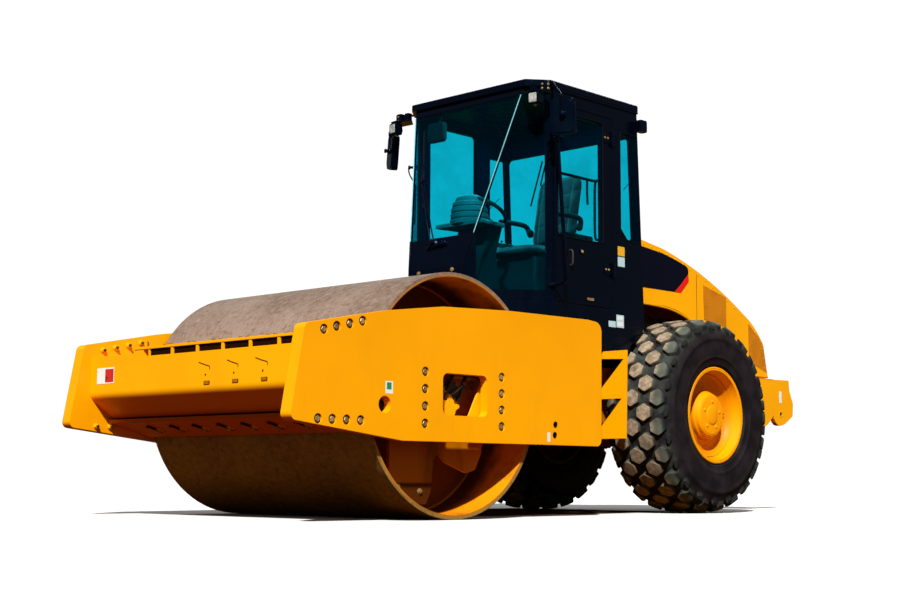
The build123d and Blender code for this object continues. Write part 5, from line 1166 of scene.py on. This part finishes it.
seat = Piece("seat_fittings", "rear_frame", "interior_plastic", PLASTIC, BOLT, SEAL, sharp=32)
for s in (1, -1):
    seat.tube(smooth_line([(s * 0.262, 0.600, 2.200), (s * 0.275, 0.580, 2.255), (s * 0.278, 0.480, 2.268), (s * 0.278, 0.300, 2.262), (s * 0.278, 0.270, 2.258)], 6), 0.020, 12, 0)
    seat.lathe(frame_at((s * 0.240, 0.600, 2.200), (s, 0, 0)), [(0.032, 0), (0.032, 0.020), (0.020, 0.026), (0, 0.026)], 20, 0)
for k in range(4):
    z = 1.930 - 0.05 * (k + 1)
    seat.lathe(Matrix.Translation((0, 0.300, z)) @ Matrix.Diagonal((1, 1, 1, 1)), [(0.2085, 0.0), (0.2135, 0.010), (0.2135, 0.030), (0.2085, 0.040)], 4, 2, start=math.pi / 4)
seat.done()

# ---------------------------------------------------------------- stage
floor_mesh = bpy.data.meshes.new("floor")
floor_mesh.from_pydata([(-90, -90, -0.0012), (90, -90, -0.0012), (90, 90, -0.0012), (-90, 90, -0.0012)], [], [(0, 1, 2, 3)])
floor = bpy.data.objects.new("floor", floor_mesh)
scene.collection.objects.link(floor)
FLOOR = Shader("pale floor")
# the floor looks pale, but lights the machine's underside only as much as dry soil would
path = FLOOR.tree.nodes.new("ShaderNodeLightPath")
# painted shadow: a dark, ragged patch on the floor under the machine, seen by camera rays
ragged = FLOOR.calc("MULTIPLY", FLOOR.noise(2.6, 6, 0.65), 0.34)
beside = FLOOR.steps(FLOOR.calc("ADD", FLOOR.calc("ABSOLUTE", FLOOR.calc("ADD", FLOOR.x, 0.30)), ragged), 0.98, 1.12, 1.0, 0.0)
along = FLOOR.steps(FLOOR.calc("ADD", FLOOR.calc("ABSOLUTE", FLOOR.y), ragged), 1.62, 1.76, 1.0, 0.0)
floor_painted_shadow = FLOOR.mix(FLOOR.calc("MULTIPLY", beside, along), (0.82, 0.82, 0.82), (0.045, 0.024, 0.010))
soil = FLOOR.mix(path.outputs["Is Camera Ray"], (0.115, 0.044, 0.004), floor_painted_shadow)
floor_mesh.materials.append(FLOOR.finish(soil, 1.0, specular=0.0))

world = bpy.data.worlds.new("studio")
scene.world = world
world.use_nodes = True
wt = world.node_tree
wt.nodes.clear()
w_out = wt.nodes.new("ShaderNodeOutputWorld")
w_soft, w_white = wt.nodes.new("ShaderNodeBackground"), wt.nodes.new("ShaderNodeBackground")
w_soft.inputs[0].default_value, w_soft.inputs[1].default_value = (0.93, 0.97, 1.0, 1), 0.15
w_white.inputs[0].default_value, w_white.inputs[1].default_value = (1, 1, 1, 1), 1.05
w_path, w_mix = wt.nodes.new("ShaderNodeLightPath"), wt.nodes.new("ShaderNodeMixShader")
wt.links.new(w_path.outputs["Is Camera Ray"], w_mix.inputs[0])
wt.links.new(w_soft.outputs[0], w_mix.inputs[1])
wt.links.new(w_white.outputs[0], w_mix.inputs[2])
wt.links.new(w_mix.outputs[0], w_out.inputs["Surface"])


def lamp(kind, name, at, target, energy, size=None, colour=(1, 1, 1)):
    data = bpy.data.lights.new(name, kind)
    data.energy = energy
    data.color = colour
    if kind == "AREA":
        data.shape, data.size, data.size_y = "RECTANGLE", size[0], size[1]
    else:
        data.angle = size
    obj = bpy.data.objects.new(name, data)
    obj.location = at
    obj.rotation_euler = (Vector(target) - Vector(at)).to_track_quat("-Z", "Y").to_euler()
    scene.collection.objects.link(obj)
    return obj


lamp("SUN", "key", (9.50, -11.30, 14.50), (0, 0, 1), 5.6, math.radians(2.2), (1.0, 0.985, 0.95))
lamp("AREA", "side_fill", (14.0, 2.0, 5.0), (0, 0, 1), 70, (8, 6))
lamp("AREA", "rear_fill", (-8.0, 12.0, 9.0), (0, 0, 1), 800, (9, 7))
# soft light from the headliner, unseen itself
inside = lamp("AREA", "cab_fill", (0.0, 0.10, 3.02), (0, 0.10, 1.5), 40, (0.9, 0.7), (0.85, 0.97, 1.0))
inside.visible_camera = inside.visible_transmission = inside.visible_glossy = False
